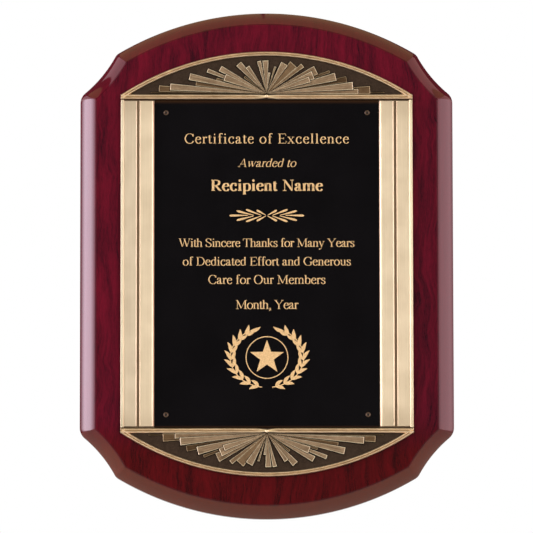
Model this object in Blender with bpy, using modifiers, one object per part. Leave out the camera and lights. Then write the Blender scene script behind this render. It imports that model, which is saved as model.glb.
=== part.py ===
"""Award plaque: a shaped, lacquered board with four castings framing an engraved plate.

The plaque stands upright: X runs across it, +Z is up, and its face looks along -Y.
The origin is the centre of the board's flat back, which is the side that meets the wall.
"""

import math

import bmesh
import bpy
from mathutils import Matrix, Vector

MM = 0.001

# Board: a rectangle with crowned ends and coved shoulders, and a rounded bevel round its face
BOARD_WIDTH = 279.4 * MM
BOARD_HEIGHT = 381.0 * MM
BOARD_THICKNESS = 19.0 * MM
CROWN_RISE = 31.4 * MM          # end arc, from its corners to its middle
SHOULDER_WIDTH = 27.0 * MM      # cove, measured across the board
SHOULDER_HEIGHT = 32.1 * MM     # cove, measured up the board
COVE_RADIUS = 97.0 * MM
CROWN_CORNER_RADIUS = 8.0 * MM  # where the end arc meets the cove
SIDE_CORNER_RADIUS = 10.0 * MM  # where the cove meets the straight side
LEAST_CORNER_RADIUS = 0.6 * MM
END_BEVEL_WIDTH = 10.5 * MM     # along the end arcs and the coves
SIDE_BEVEL_WIDTH = 12.0 * MM
BEVEL_DEPTH = 11.0 * MM
BEVEL_CROWN = 1.1 * MM          # how far the bevel bulges from a flat chamfer
BACK_ARRIS = 0.8 * MM

# Castings: a lunette above and below the plate, and a fluted column on each side
FRAME_WIDTH = 218.8 * MM
COLUMN_WIDTH = 25.4 * MM
WINDOW_HEIGHT = 246.6 * MM      # between the two bars
LUNETTE_HEIGHT = 36.7 * MM      # from the bar's plate edge to the top of the rim
LUNETTE_END_HEIGHT = 3.7 * MM
BAR_WIDTH = 4.6 * MM
RIM_WIDTH = 3.7 * MM
RIDGE_HEIGHT = 3.6 * MM         # rim and bar, above the board
FIELD_THICKNESS = 1.5 * MM
RAY_START = 2.2 * MM
RAY_CHAMFER = 0.45 * MM
HUB_RADIUS = 2.4 * MM
KNOT_RADIUS = 1.7 * MM
NOTCH_WIDTH = 15.0 * MM
NOTCH_DEPTH = 1.7 * MM
COLUMN_BEAD_WIDTH = 2.8 * MM
COLUMN_BEAD_HEIGHT = 3.5 * MM
COLUMN_BAND_HEIGHT = 3.1 * MM
FLUTE_WIDTH = 2.4 * MM
FLUTE_DEPTH = 1.3 * MM
COLUMN_LIP_WIDTH = 1.5 * MM
COLUMN_LIP_HEIGHT = 2.2 * MM
END_RELIEF = 0.9 * MM           # extra gap between a column's bands and the bar

# Engraved plate and its pins
PLATE_CLEARANCE = 0.5 * MM
PLATE_THICKNESS = 0.8 * MM
PIN_INSET_X = 8.2 * MM          # from the plate's edge to a pin's centre
PIN_INSET_Z = 9.4 * MM
PIN_HEAD_RADIUS = 2.1 * MM
PIN_HEAD_HEIGHT = 0.8 * MM
PIN_DIMPLE_RADIUS = 0.9 * MM
PIN_RADIUS = 0.75 * MM
PIN_LENGTH = 9.0 * MM
PIN_CLEARANCE = 0.35 * MM
PIN_HOLE_SPARE = 1.0 * MM       # hole past the pin's point

# Casting posts in the board, and the screws that draw them in from behind
POST_RADIUS = 3.0 * MM
POST_LENGTH = 9.0 * MM
POST_CLEARANCE = 0.35 * MM
LUNETTE_POST_X = 60.0 * MM
LUNETTE_POST_RISE = 8.0 * MM    # above the bar's field edge
COLUMN_POST_Z = 85.0 * MM
SCREW_RADIUS = 1.4 * MM
SCREW_CLEARANCE = 0.35 * MM
SCREW_ENGAGEMENT = 5.2 * MM     # in the post
SCREW_TIP_SPARE = 1.3 * MM      # bore past the screw's end
SCREW_HEAD_RADIUS = 3.0 * MM
SCREW_HEAD_HEIGHT = 2.2 * MM
COUNTERBORE_CLEARANCE = 1.0 * MM
HEAD_RECESS = 2.3 * MM          # from the board's back down to the screw's head
DRIVE_LENGTH = 3.2 * MM
DRIVE_WIDTH = 0.8 * MM
DRIVE_DEPTH = 1.2 * MM

# Keyhole hanger let into the back
HANGER_DROP = 42.0 * MM         # from the board's top to the hanger's centre
HANGER_LENGTH = 50.0 * MM
HANGER_WIDTH = 24.0 * MM
HANGER_THICKNESS = 1.5 * MM
KEYHOLE_RADIUS = 4.6 * MM
KEYHOLE_SLOT_WIDTH = 4.6 * MM
KEYHOLE_SLOT_RISE = 9.0 * MM
KEYHOLE_DROP = 4.5 * MM         # from the hanger's centre down to the round hole
POCKET_DEPTH = 7.0 * MM         # behind the hanger plate
POCKET_MARGIN = 1.2 * MM
HANGER_SCREW_INSET = 6.0 * MM   # from the hanger's end to the screw's centre
HANGER_SCREW_RADIUS = 1.3 * MM
HANGER_SCREW_LENGTH = 9.0 * MM
HANGER_SCREW_HEAD_RADIUS = 2.7 * MM
HANGER_SCREW_HEAD_HEIGHT = 1.2 * MM

GAP = 0.3 * MM                  # between pieces that touch
CUT_MARGIN = 1.0 * MM           # how far a cutter runs past the face it cuts
TRIM_MARGIN = 0.1 * MM          # what the trim leaves on the rim and takes off the bar
ROUND_STEPS = 16
SCREW_STEPS = 12
ARC_STEPS = 44
WELD = 0.00001

# Rays of the sunburst: degrees from the centre line, gap to the rim, end width, height over the field
RAYS = (
    (-87.1, 11.3, 4.7, 0.80), (-85.9, 16.7, 5.2, 1.62), (-81.3, 24.7, 3.4, 0.72),
    (-77.3, 11.2, 5.2, 1.58), (-73.0, 23.9, 1.9, 0.68), (-68.2, 8.7, 3.1, 1.24), (-68.4, 23.0, 5.4, 2.06),
    (-61.1, 9.1, 4.5, 1.50), (-52.0, 20.6, 1.9, 0.64), (-42.7, 6.1, 4.9, 1.46), (-35.2, 9.3, 3.3, 1.78),
    (-13.0, 4.7, 3.0, 1.42), (-2.0, 4.4, 4.5, 1.38), (7.0, 13.6, 1.5, 1.74), (17.4, 8.9, 1.5, 1.06),
    (30.5, 6.5, 5.6, 1.70), (41.9, 6.5, 6.7, 0.96), (51.5, 6.9, 3.5, 1.02), (64.1, 10.6, 7.0, 1.10),
    (67.9, 18.5, 6.3, 1.66), (71.5, 26.9, 4.5, 2.10), (70.3, 8.9, 2.2, 0.60), (76.0, 14.7, 6.1, 1.34),
    (79.4, 13.3, 4.5, 0.56), (84.7, 21.1, 5.8, 1.82), (88.5, 27.1, 3.8, 1.14), (87.8, 16.3, 6.0, 0.76),
)

PIN_HOLE_RADIUS = PIN_RADIUS + PIN_CLEARANCE
POST_HOLE_RADIUS = POST_RADIUS + POST_CLEARANCE
SCREW_HOLE_RADIUS = SCREW_RADIUS + SCREW_CLEARANCE
COUNTERBORE_RADIUS = SCREW_HEAD_RADIUS + COUNTERBORE_CLEARANCE
COUNTERBORE_DEPTH = SCREW_HEAD_HEIGHT + HEAD_RECESS
SCREW_LENGTH = BOARD_THICKNESS - COUNTERBORE_DEPTH - POST_LENGTH + SCREW_ENGAGEMENT
FACE_Y = -BOARD_THICKNESS
CASTING_BACK_Y = FACE_Y - GAP
WINDOW_WIDTH = FRAME_WIDTH - 2 * COLUMN_WIDTH
WINDOW_TOP = WINDOW_HEIGHT / 2


def arc_radius(half_chord, rise):
    """The radius of an arc from its half chord and its rise."""
    return (half_chord**2 + rise**2) / (2 * rise)


def hanger_centre_z():
    """The hanger's middle, a set drop below the board's top."""
    return BOARD_HEIGHT / 2 - HANGER_DROP


# Scene and object helpers


def clear_scene():
    """Remove what the file opened with."""
    for item in list(bpy.data.objects):
        bpy.data.objects.remove(item, do_unlink=True)


def new_collection(name):
    """A collection under the scene."""
    group = bpy.data.collections.new(name)
    bpy.context.scene.collection.children.link(group)
    return group


def add_object(name, mesh, group):
    """An object for a mesh, in a collection."""
    item = bpy.data.objects.new(name, mesh)
    group.objects.link(item)
    return item


def mesh_from(bm, name):
    """A mesh with its normals outward, from a bmesh."""
    bmesh.ops.recalc_face_normals(bm, faces=bm.faces)
    mesh = bpy.data.meshes.new(name)
    bm.to_mesh(mesh)
    bm.free()
    return mesh


def evaluated_mesh(item):
    """The object's mesh with its modifiers or its curve worked out."""
    bpy.context.view_layer.update()
    graph = bpy.context.evaluated_depsgraph_get()
    return bpy.data.meshes.new_from_object(item.evaluated_get(graph))


def settle(item):
    """Keep the evaluated mesh as the object's own and drop its modifiers."""
    mesh = evaluated_mesh(item)
    item.modifiers.clear()
    item.data = mesh
    return item


def combine(item, tools, operation):
    """Join tools to an object or cut them from it, then remove them."""
    group = new_collection(item.name + "_tools")
    for tool in tools:
        for home in list(tool.users_collection):
            home.objects.unlink(tool)
        group.objects.link(tool)
    change = item.modifiers.new(operation.lower(), "BOOLEAN")
    change.operation = operation
    change.operand_type = "COLLECTION"
    change.collection = group
    change.solver = "EXACT"
    settle(item)
    for tool in list(group.objects):
        bpy.data.objects.remove(tool, do_unlink=True)
    bpy.data.collections.remove(group)
    return item


def box(name, low, high, group):
    """A box between two corners."""
    bm = bmesh.new()
    bmesh.ops.create_cube(bm, size=1.0)
    low, high = Vector(low), Vector(high)
    bmesh.ops.scale(bm, vec=high - low, verts=bm.verts)
    bmesh.ops.translate(bm, vec=(low + high) / 2, verts=bm.verts)
    return add_object(name, mesh_from(bm, name), group)


def cylinder(name, radius, start, end, group, steps=ROUND_STEPS):
    """A cylinder between two points on one line along Y."""
    bm = bmesh.new()
    length = abs(end[1] - start[1])
    bmesh.ops.create_cone(
        bm, cap_ends=True, segments=steps, radius1=radius, radius2=radius, depth=length
    )
    bmesh.ops.rotate(bm, cent=(0, 0, 0), matrix=Matrix.Rotation(math.radians(90), 3, "X"), verts=bm.verts)
    bmesh.ops.translate(bm, vec=(Vector(start) + Vector(end)) / 2, verts=bm.verts)
    return add_object(name, mesh_from(bm, name), group)


def turned(name, profile, group, steps=ROUND_STEPS):
    """A solid turned about Z from (radius, height) points that run down its outer side."""
    bm = bmesh.new()
    rings = [bm.verts.new((radius, 0, height)) for radius, height in profile]
    for first, second in zip(rings, rings[1:]):
        bm.edges.new((first, second))
    mesh = bpy.data.meshes.new(name)
    bm.to_mesh(mesh)
    bm.free()
    item = add_object(name, mesh, group)
    screw = item.modifiers.new("turn", "SCREW")
    screw.steps = steps
    screw.render_steps = steps
    screw.use_merge_vertices = True
    screw.merge_threshold = WELD
    return settle(item)


def flat_outline(name, points, half_thickness, group):
    """A flat slab from an outline in X and Z, centred on y = 0."""
    curve = bpy.data.curves.new(name, "CURVE")
    curve.dimensions = "2D"
    curve.fill_mode = "BOTH"
    curve.extrude = half_thickness
    curve.resolution_u = 1
    spline = curve.splines.new("POLY")
    spline.points.add(len(points) - 1)
    for point, (x, z) in zip(spline.points, points):
        point.co = (x, z, 0, 1)
    spline.use_cyclic_u = True
    guide = add_object(name + "_outline", curve, group)
    guide.rotation_euler = (math.radians(90), 0, 0)
    mesh = evaluated_mesh(guide)
    item = add_object(name, mesh, group)
    item.matrix_world = guide.matrix_world
    bpy.data.objects.remove(guide, do_unlink=True)
    bm = bmesh.new()
    bm.from_mesh(mesh)
    bmesh.ops.transform(bm, matrix=item.matrix_world, verts=bm.verts)
    bmesh.ops.remove_doubles(bm, verts=bm.verts, dist=WELD)
    bmesh.ops.recalc_face_normals(bm, faces=bm.faces)
    bm.to_mesh(mesh)
    bm.free()
    item.matrix_world = Matrix.Identity(4)
    return item


def material(name, colour, roughness, metallic):
    """A plain surface for one kind of piece."""
    surface = bpy.data.materials.new(name)
    surface.use_nodes = True
    shader = surface.node_tree.nodes["Principled BSDF"]
    shader.inputs["Base Color"].default_value = (*colour, 1.0)
    shader.inputs["Roughness"].default_value = roughness
    shader.inputs["Metallic"].default_value = metallic
    surface.diffuse_color = (*colour, 1.0)
    return surface


def finish(item, surface):
    """Give a piece its one material and smooth shading with crisp edges."""
    item.data.materials.clear()
    item.data.materials.append(surface)
    item.data.shade_smooth()
    item.data.set_sharp_from_angle(angle=math.radians(25))
    return item


# Board


def circle_meeting(centre_a, radius_a, centre_b, radius_b, near):
    """The crossing of two circles that lies nearest to a point."""
    between = centre_b - centre_a
    span = between.length
    along = (radius_a**2 - radius_b**2 + span**2) / (2 * span)
    across = math.sqrt(radius_a**2 - along**2)
    foot = centre_a + between * (along / span)
    side = Vector((-between.y, between.x)) * (across / span)
    return min((foot + side, foot - side), key=lambda point: (point - near).length)


def arc_points(centre, radius, start, end, steps):
    """Points along the shorter arc from one direction to another, both ends included."""
    first = math.atan2(start.y - centre.y, start.x - centre.x)
    turn = math.atan2(end.y - centre.y, end.x - centre.x) - first
    turn = (turn + math.pi) % (2 * math.pi) - math.pi
    angles = [first + turn * step / steps for step in range(steps + 1)]
    return [centre + radius * Vector((math.cos(angle), math.sin(angle))) for angle in angles]


def board_quarter(share):
    """A quarter of the board's outline, from its top round to its side, set in by a share of the bevel."""
    end_inset = END_BEVEL_WIDTH * share
    side_inset = SIDE_BEVEL_WIDTH * share
    half_width, half_height = BOARD_WIDTH / 2, BOARD_HEIGHT / 2
    crown_corner = Vector((half_width - SHOULDER_WIDTH, half_height - CROWN_RISE))
    side_corner = crown_corner + Vector((SHOULDER_WIDTH, -SHOULDER_HEIGHT))
    crown_radius = arc_radius(crown_corner.x, CROWN_RISE)
    crown_centre = Vector((0, half_height - crown_radius))
    crown_radius -= end_inset
    chord = side_corner - crown_corner
    outward = Vector((-chord.y, chord.x)).normalized()
    cove_height = math.sqrt(COVE_RADIUS**2 - (chord.length / 2) ** 2)
    cove_centre = (crown_corner + side_corner) / 2 + outward * cove_height
    cove_radius = COVE_RADIUS + end_inset
    side_x = half_width - side_inset

    upper = max(CROWN_CORNER_RADIUS - end_inset, LEAST_CORNER_RADIUS)
    upper_centre = circle_meeting(
        crown_centre, crown_radius - upper, cove_centre, cove_radius + upper, crown_corner
    )
    crown_end = crown_centre + (upper_centre - crown_centre) * (crown_radius / (crown_radius - upper))
    cove_start = cove_centre + (upper_centre - cove_centre) * (cove_radius / (cove_radius + upper))

    lower = max(SIDE_CORNER_RADIUS - side_inset, LEAST_CORNER_RADIUS)
    reach = cove_radius + lower
    lower_x = side_x - lower
    lower_z = cove_centre.y - math.sqrt(reach**2 - (cove_centre.x - lower_x) ** 2)
    lower_centre = Vector((lower_x, lower_z))
    cove_end = cove_centre + (lower_centre - cove_centre) * (cove_radius / reach)
    side_start = Vector((side_x, lower_z))

    top = Vector((0, crown_centre.y + crown_radius))
    points = arc_points(crown_centre, crown_radius, top, crown_end, 14)
    points += arc_points(upper_centre, upper, crown_end, cove_start, 4)[1:]
    points += arc_points(cove_centre, cove_radius, cove_start, cove_end, 7)[1:]
    points += arc_points(lower_centre, lower, cove_end, side_start, 5)[1:]
    points.append(Vector((side_x, 0)))
    return points


def bevel_section():
    """Bevel steps as (share of the bevel's width, y), from the board's side to its face."""
    width = SIDE_BEVEL_WIDTH
    radius = arc_radius(math.hypot(width, BEVEL_DEPTH) / 2, BEVEL_CROWN)
    start = Vector((0, FACE_Y + BEVEL_DEPTH))
    end = Vector((width, FACE_Y))
    chord = end - start
    inward = Vector((-chord.y, chord.x)).normalized()
    centre = (start + end) / 2 + inward * math.sqrt(radius**2 - (chord.length / 2) ** 2)
    return [(point.x / width, point.y) for point in arc_points(centre, radius, start, end, 6)]


def board_blank(group):
    """The shaped board before it is drilled: a quarter lofted through its edge section, mirrored twice."""
    arris = BACK_ARRIS / END_BEVEL_WIDTH
    sections = [(arris, 0.0), (0.0, -BACK_ARRIS)] + bevel_section()
    bm = bmesh.new()
    rings = []
    for share, y in sections:
        rings.append([bm.verts.new((point.x, y, point.y)) for point in board_quarter(share)])
    for lower, upper in zip(rings, rings[1:]):
        for index in range(len(lower) - 1):
            bm.faces.new((lower[index], lower[index + 1], upper[index + 1], upper[index]))
    for ring in (rings[0], rings[-1]):
        middle = bm.verts.new((0, ring[0].co.y, 0))
        bm.faces.new(ring + [middle])
    item = add_object("backboard", mesh_from(bm, "backboard"), group)
    mirror = item.modifiers.new("mirror", "MIRROR")
    mirror.use_axis = (True, False, True)
    mirror.merge_threshold = WELD
    settle(item)
    bm = bmesh.new()
    bm.from_mesh(item.data)
    bmesh.ops.recalc_face_normals(bm, faces=bm.faces)
    bm.to_mesh(item.data)
    bm.free()
    return item


def stepped_hole(name, place, group):
    """The cutter for one casting screw: post hole, clearance hole and counterbore on one axis."""
    x, z = place
    post_floor = FACE_Y + POST_LENGTH
    profile = [
        (0, CUT_MARGIN),
        (COUNTERBORE_RADIUS, CUT_MARGIN),
        (COUNTERBORE_RADIUS, -COUNTERBORE_DEPTH),
        (SCREW_HOLE_RADIUS, -COUNTERBORE_DEPTH),
        (SCREW_HOLE_RADIUS, post_floor),
        (POST_HOLE_RADIUS, post_floor),
        (POST_HOLE_RADIUS, FACE_Y - CUT_MARGIN),
        (0, FACE_Y - CUT_MARGIN),
    ]
    item = turned(name, profile, group, steps=SCREW_STEPS)
    item.rotation_euler = (math.radians(-90), 0, 0)
    item.location = (x, 0, z)
    return item


def post_places():
    """Where each casting is held, as casting name to (x, z) pairs."""
    column_x = FRAME_WIDTH / 2 - COLUMN_WIDTH / 2
    lunette_z = WINDOW_TOP + BAR_WIDTH + LUNETTE_POST_RISE
    return {
        "top": [(-LUNETTE_POST_X, lunette_z), (LUNETTE_POST_X, lunette_z)],
        "bottom": [(-LUNETTE_POST_X, -lunette_z), (LUNETTE_POST_X, -lunette_z)],
        "left": [(-column_x, COLUMN_POST_Z), (-column_x, -COLUMN_POST_Z)],
        "right": [(column_x, COLUMN_POST_Z), (column_x, -COLUMN_POST_Z)],
    }


def pin_places():
    """The four pins' centres by corner."""
    x = WINDOW_WIDTH / 2 - PLATE_CLEARANCE - PIN_INSET_X
    z = WINDOW_TOP - PLATE_CLEARANCE - PIN_INSET_Z
    return {"top_left": (-x, z), "top_right": (x, z), "bottom_left": (-x, -z), "bottom_right": (x, -z)}


def hanger_screw_places():
    """The hanger's two screws by side."""
    x = HANGER_LENGTH / 2 - HANGER_SCREW_INSET
    return {"left": (-x, hanger_centre_z()), "right": (x, hanger_centre_z())}


def stadium(half_width, radius, centre_z, steps):
    """A round-ended bar outline lying along X."""
    points = []
    for side in (1, -1):
        for step in range(steps + 1):
            angle = math.radians(-90 + 180 * step / steps)
            x = side * (half_width - radius + radius * math.cos(angle))
            points.append((x, centre_z + side * radius * math.sin(angle)))
    return points


def hanger_recess(group):
    """Cutters for the hanger's shallow recess and the deeper pocket behind its keyhole."""
    z = hanger_centre_z()
    recess_depth = HANGER_THICKNESS + 2 * GAP
    half = (recess_depth + CUT_MARGIN) / 2
    outline = stadium(HANGER_LENGTH / 2 + GAP, HANGER_WIDTH / 2 + GAP, z, ROUND_STEPS // 2)
    recess = flat_outline("hanger_recess", outline, half, group)
    recess.location.y = CUT_MARGIN - half
    bottom = z - KEYHOLE_DROP - KEYHOLE_RADIUS - POCKET_MARGIN
    top = z - KEYHOLE_DROP + KEYHOLE_SLOT_RISE + KEYHOLE_RADIUS + POCKET_MARGIN
    reach = KEYHOLE_RADIUS + POCKET_MARGIN
    pocket = box(
        "hanger_pocket",
        (-reach, -recess_depth - POCKET_DEPTH, bottom),
        (reach, CUT_MARGIN, top),
        group,
    )
    return [recess, pocket]


def make_backboard(group, surface):
    """The board with every hole and the hanger's recess."""
    item = board_blank(group)
    cutters = []
    for places in post_places().values():
        cutters += [stepped_hole("stepped_hole", place, group) for place in places]
    pin_depth = PIN_LENGTH + PIN_HOLE_SPARE
    for x, z in pin_places().values():
        start, end = (x, FACE_Y - CUT_MARGIN, z), (x, FACE_Y + pin_depth, z)
        cutters.append(cylinder("pin_hole", PIN_HOLE_RADIUS, start, end, group, steps=SCREW_STEPS))
    recess_depth = HANGER_THICKNESS + 2 * GAP
    for x, z in hanger_screw_places().values():
        end_y = -recess_depth - HANGER_SCREW_LENGTH
        radius = HANGER_SCREW_RADIUS + GAP
        start, end = (x, 0, z), (x, end_y, z)
        cutters.append(cylinder("hanger_screw_hole", radius, start, end, group, steps=SCREW_STEPS))
    combine(item, cutters + hanger_recess(group), "DIFFERENCE")
    return finish(item, surface)


# Castings


def ridge_section(width):
    """A twin-ridged moulding across its width, as (distance, height over the board) points."""
    return [
        (0.0, GAP),
        (0.0, 0.30 * RIDGE_HEIGHT),
        (0.16 * width, 0.78 * RIDGE_HEIGHT),
        (0.27 * width, RIDGE_HEIGHT),
        (0.38 * width, RIDGE_HEIGHT),
        (0.50 * width, 0.84 * RIDGE_HEIGHT),
        (0.62 * width, 0.84 * RIDGE_HEIGHT),
        (0.72 * width, RIDGE_HEIGHT),
        (0.84 * width, RIDGE_HEIGHT),
        (width, 0.72 * RIDGE_HEIGHT),
        (width, GAP),
    ]


def lunette_arc():
    """The rim's outer radius and the height of its centre."""
    radius = arc_radius(FRAME_WIDTH / 2, LUNETTE_HEIGHT - LUNETTE_END_HEIGHT)
    return radius, WINDOW_TOP + LUNETTE_HEIGHT - radius


def lunette_outline(margin, base_z):
    """The lunette seen from the front, as (x, z) points, with its arc moved out by a margin."""
    radius, centre_z = lunette_arc()
    radius += margin
    half = FRAME_WIDTH / 2
    spread = math.asin(half / radius)
    points = []
    for step in range(ARC_STEPS + 1):
        angle = spread - 2 * spread * step / ARC_STEPS
        points.append((radius * math.sin(angle), centre_z + radius * math.cos(angle)))
    return points + [(-half, base_z), (half, base_z)]


def lunette_rim(group):
    """The moulded rim, its section spun about the arc's centre a little past both corners."""
    radius, centre_z = lunette_arc()
    spread = math.asin(FRAME_WIDTH / 2 / radius) + math.radians(2)
    bm = bmesh.new()
    corners = []
    for distance, height in ridge_section(RIM_WIDTH):
        corners.append(bm.verts.new((0, FACE_Y - height, radius - distance)))
    face = bm.faces.new(corners)
    bmesh.ops.rotate(
        bm, cent=(0, 0, 0), matrix=Matrix.Rotation(-spread, 3, "Y"), verts=bm.verts
    )
    bmesh.ops.spin(
        bm,
        geom=[face] + list(face.edges) + list(face.verts),
        cent=(0, 0, 0),
        axis=(0, 1, 0),
        angle=2 * spread,
        steps=ARC_STEPS,
    )
    bmesh.ops.translate(bm, vec=(0, 0, centre_z), verts=bm.verts)
    return add_object("rim", mesh_from(bm, "rim"), group)


def lunette_bar(group):
    """The straight moulding along the plate's edge, a little over size where the trim cuts it."""
    half = FRAME_WIDTH / 2 + CUT_MARGIN
    edge_z = WINDOW_TOP - TRIM_MARGIN
    bm = bmesh.new()
    corners = []
    for distance, height in ridge_section(BAR_WIDTH + TRIM_MARGIN):
        corners.append(bm.verts.new((-half, FACE_Y - height, edge_z + distance)))
    face = bm.faces.new(corners)
    grown = bmesh.ops.extrude_face_region(bm, geom=[face])
    moved = [part for part in grown["geom"] if isinstance(part, bmesh.types.BMVert)]
    bmesh.ops.translate(bm, vec=(2 * half, 0, 0), verts=moved)
    return add_object("bar", mesh_from(bm, "bar"), group)


def ray_length(angle, gap):
    """From the hub to a stated gap short of the rim, at an angle from the centre line."""
    radius, centre_z = lunette_arc()
    inner = radius - RIM_WIDTH
    rise = WINDOW_TOP + BAR_WIDTH - centre_z
    reach = math.sqrt(inner**2 - (rise * math.sin(angle)) ** 2) - rise * math.cos(angle)
    return reach - gap


def ray(index, degrees, gap, width, height, group):
    """One tapering bar of the sunburst, chamfered along its top."""
    angle = math.radians(degrees)
    length = ray_length(angle, gap)
    narrow = width * RAY_START / length
    buried = FIELD_THICKNESS * (0.5 + 0.01 * index)
    chamfer = min(RAY_CHAMFER, 0.3 * width, 0.5 * height)
    bm = bmesh.new()
    bmesh.ops.create_cube(bm, size=1.0)
    for vert in bm.verts:
        outer = vert.co.z > 0
        vert.co.x *= width if outer else narrow
        vert.co.z = length if outer else RAY_START
        vert.co.y = -height + chamfer if vert.co.y < 0 else buried
    bm.faces.ensure_lookup_table()
    top = min(bm.faces, key=lambda face: face.calc_center_median().y)
    grown = bmesh.ops.extrude_face_region(bm, geom=[top])
    bmesh.ops.delete(bm, geom=[top], context="FACES_ONLY")
    for vert in [part for part in grown["geom"] if isinstance(part, bmesh.types.BMVert)]:
        outer = vert.co.z > length / 2
        inset = chamfer if outer else 0.3 * narrow
        vert.co.x -= math.copysign(inset, vert.co.x)
        vert.co.z -= inset if outer else 0.0
        vert.co.y -= chamfer
    bmesh.ops.rotate(bm, cent=(0, 0, 0), matrix=Matrix.Rotation(angle, 3, "Y"), verts=bm.verts)
    hub = (0, CASTING_BACK_Y - FIELD_THICKNESS, WINDOW_TOP + BAR_WIDTH)
    bmesh.ops.translate(bm, vec=hub, verts=bm.verts)
    return add_object("ray", mesh_from(bm, "ray"), group)


def hub_and_knot(group):
    """The boss that the rays spring from and the small round knot on the bar below it."""
    tallest = max(height for _, _, _, height in RAYS) * MM
    hub_front = CASTING_BACK_Y - FIELD_THICKNESS - tallest - GAP
    hub_z = WINDOW_TOP + BAR_WIDTH
    hub_back = CASTING_BACK_Y - FIELD_THICKNESS / 2
    hub = cylinder("hub", HUB_RADIUS, (0, hub_front, hub_z), (0, hub_back, hub_z), group)
    bm = bmesh.new()
    bmesh.ops.create_uvsphere(bm, u_segments=12, v_segments=8, radius=KNOT_RADIUS)
    knot_z = WINDOW_TOP + NOTCH_DEPTH + (BAR_WIDTH - NOTCH_DEPTH) / 2
    bmesh.ops.translate(bm, vec=(0, FACE_Y - RIDGE_HEIGHT, knot_z), verts=bm.verts)
    return [hub, add_object("knot", mesh_from(bm, "knot"), group)]


def posts(places, front_y, group):
    """Cast posts behind a casting, from inside its body to their length in the board."""
    made = []
    for x, z in places:
        end_y = FACE_Y + POST_LENGTH - GAP
        made.append(cylinder("post", POST_RADIUS, (x, front_y, z), (x, end_y, z), group))
    return made


def post_bores(places, group):
    """The bores that the screws enter, cut up each post from its end."""
    made = []
    start_y = FACE_Y + POST_LENGTH + CUT_MARGIN
    end_y = FACE_Y + POST_LENGTH - SCREW_ENGAGEMENT - SCREW_TIP_SPARE
    for x, z in places:
        start, end = (x, start_y, z), (x, end_y, z)
        made.append(cylinder("post_bore", SCREW_HOLE_RADIUS, start, end, group, steps=SCREW_STEPS))
    return made


def bar_notch(group):
    """The shallow hollow that narrows the bar at its middle, cut from the plate's side."""
    radius = arc_radius(NOTCH_WIDTH / 2, NOTCH_DEPTH)
    centre_z = WINDOW_TOP + NOTCH_DEPTH - radius
    start, end = (0, FACE_Y + CUT_MARGIN, centre_z), (0, FACE_Y - 2 * RIDGE_HEIGHT, centre_z)
    return cylinder("bar_notch", radius, start, end, group, steps=96)


def lunette_mesh(group):
    """One sunburst casting, in its place above the plate."""
    field_middle = CASTING_BACK_Y - FIELD_THICKNESS / 2
    field = lunette_outline(-RIM_WIDTH / 2, WINDOW_TOP + BAR_WIDTH / 2)
    item = flat_outline("lunette", field, FIELD_THICKNESS / 2, group)
    item.location.y = field_middle
    places = post_places()["top"]
    pieces = [lunette_rim(group), lunette_bar(group)] + hub_and_knot(group)
    for index, (degrees, gap, width, height) in enumerate(RAYS):
        pieces.append(ray(index, degrees, gap * MM, width * MM, height * MM, group))
    pieces += posts(places, field_middle, group)
    combine(item, pieces, "UNION")
    reach = POST_LENGTH + RIDGE_HEIGHT + 2 * KNOT_RADIUS
    trim = flat_outline("lunette_trim", lunette_outline(TRIM_MARGIN, WINDOW_TOP), reach, group)
    trim.location.y = FACE_Y
    combine(item, [trim], "INTERSECT")
    combine(item, [bar_notch(group)] + post_bores(places, group), "DIFFERENCE")
    mesh = item.data
    mesh.transform(item.matrix_basis)
    bpy.data.objects.remove(item, do_unlink=True)
    return mesh


def column_section():
    """Half of the frame's fluted column, as (distance in from the outer edge, height over the board)."""
    flute = COLUMN_BEAD_WIDTH + (COLUMN_WIDTH - COLUMN_BEAD_WIDTH - COLUMN_LIP_WIDTH) / 2
    lip = COLUMN_WIDTH - COLUMN_LIP_WIDTH
    side = FLUTE_WIDTH / 2
    bead, band = COLUMN_BEAD_HEIGHT, COLUMN_BAND_HEIGHT
    return [
        (0.0, GAP),
        (0.0, 0.35 * bead),
        (0.18 * COLUMN_BEAD_WIDTH, 0.80 * bead),
        (0.36 * COLUMN_BEAD_WIDTH, bead),
        (0.50 * COLUMN_BEAD_WIDTH, 0.88 * bead),
        (0.70 * COLUMN_BEAD_WIDTH, bead),
        (0.88 * COLUMN_BEAD_WIDTH, bead),
        (COLUMN_BEAD_WIDTH, band),
        (flute - side, band),
        (flute - 0.35 * side, band - FLUTE_DEPTH),
        (flute + 0.35 * side, band - FLUTE_DEPTH),
        (flute + side, band),
        (lip, band),
        (COLUMN_WIDTH, COLUMN_LIP_HEIGHT),
        (COLUMN_WIDTH, GAP),
    ]


def make_column(name, side, group, surface):
    """A column casting: its section drawn up the window's height, relieved at both ends."""
    half = WINDOW_TOP - GAP
    bm = bmesh.new()
    corners = []
    for distance, height in column_section():
        corners.append(bm.verts.new((side * (FRAME_WIDTH / 2 - distance), FACE_Y - height, -half)))
    face = bm.faces.new(corners)
    grown = bmesh.ops.extrude_face_region(bm, geom=[face])
    moved = [part for part in grown["geom"] if isinstance(part, bmesh.types.BMVert)]
    bmesh.ops.translate(bm, vec=(0, 0, 2 * half), verts=moved)
    item = add_object(name, mesh_from(bm, name), group)
    places = post_places()[name.split("_")[0]]
    combine(item, posts(places, CASTING_BACK_Y - COLUMN_LIP_HEIGHT / 2, group), "UNION")
    cutters = post_bores(places, group)
    inner = side * (FRAME_WIDTH / 2 - COLUMN_WIDTH - CUT_MARGIN)
    outer = side * (FRAME_WIDTH / 2 - COLUMN_BEAD_WIDTH)
    for end in (1, -1):
        heights = sorted((end * (half - END_RELIEF), end * (half + CUT_MARGIN)))
        low = (min(inner, outer), FACE_Y - 2 * RIDGE_HEIGHT, heights[0])
        high = (max(inner, outer), FACE_Y, heights[1])
        cutters.append(box("end_relief", low, high, group))
    combine(item, cutters, "DIFFERENCE")
    return finish(item, surface)


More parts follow.
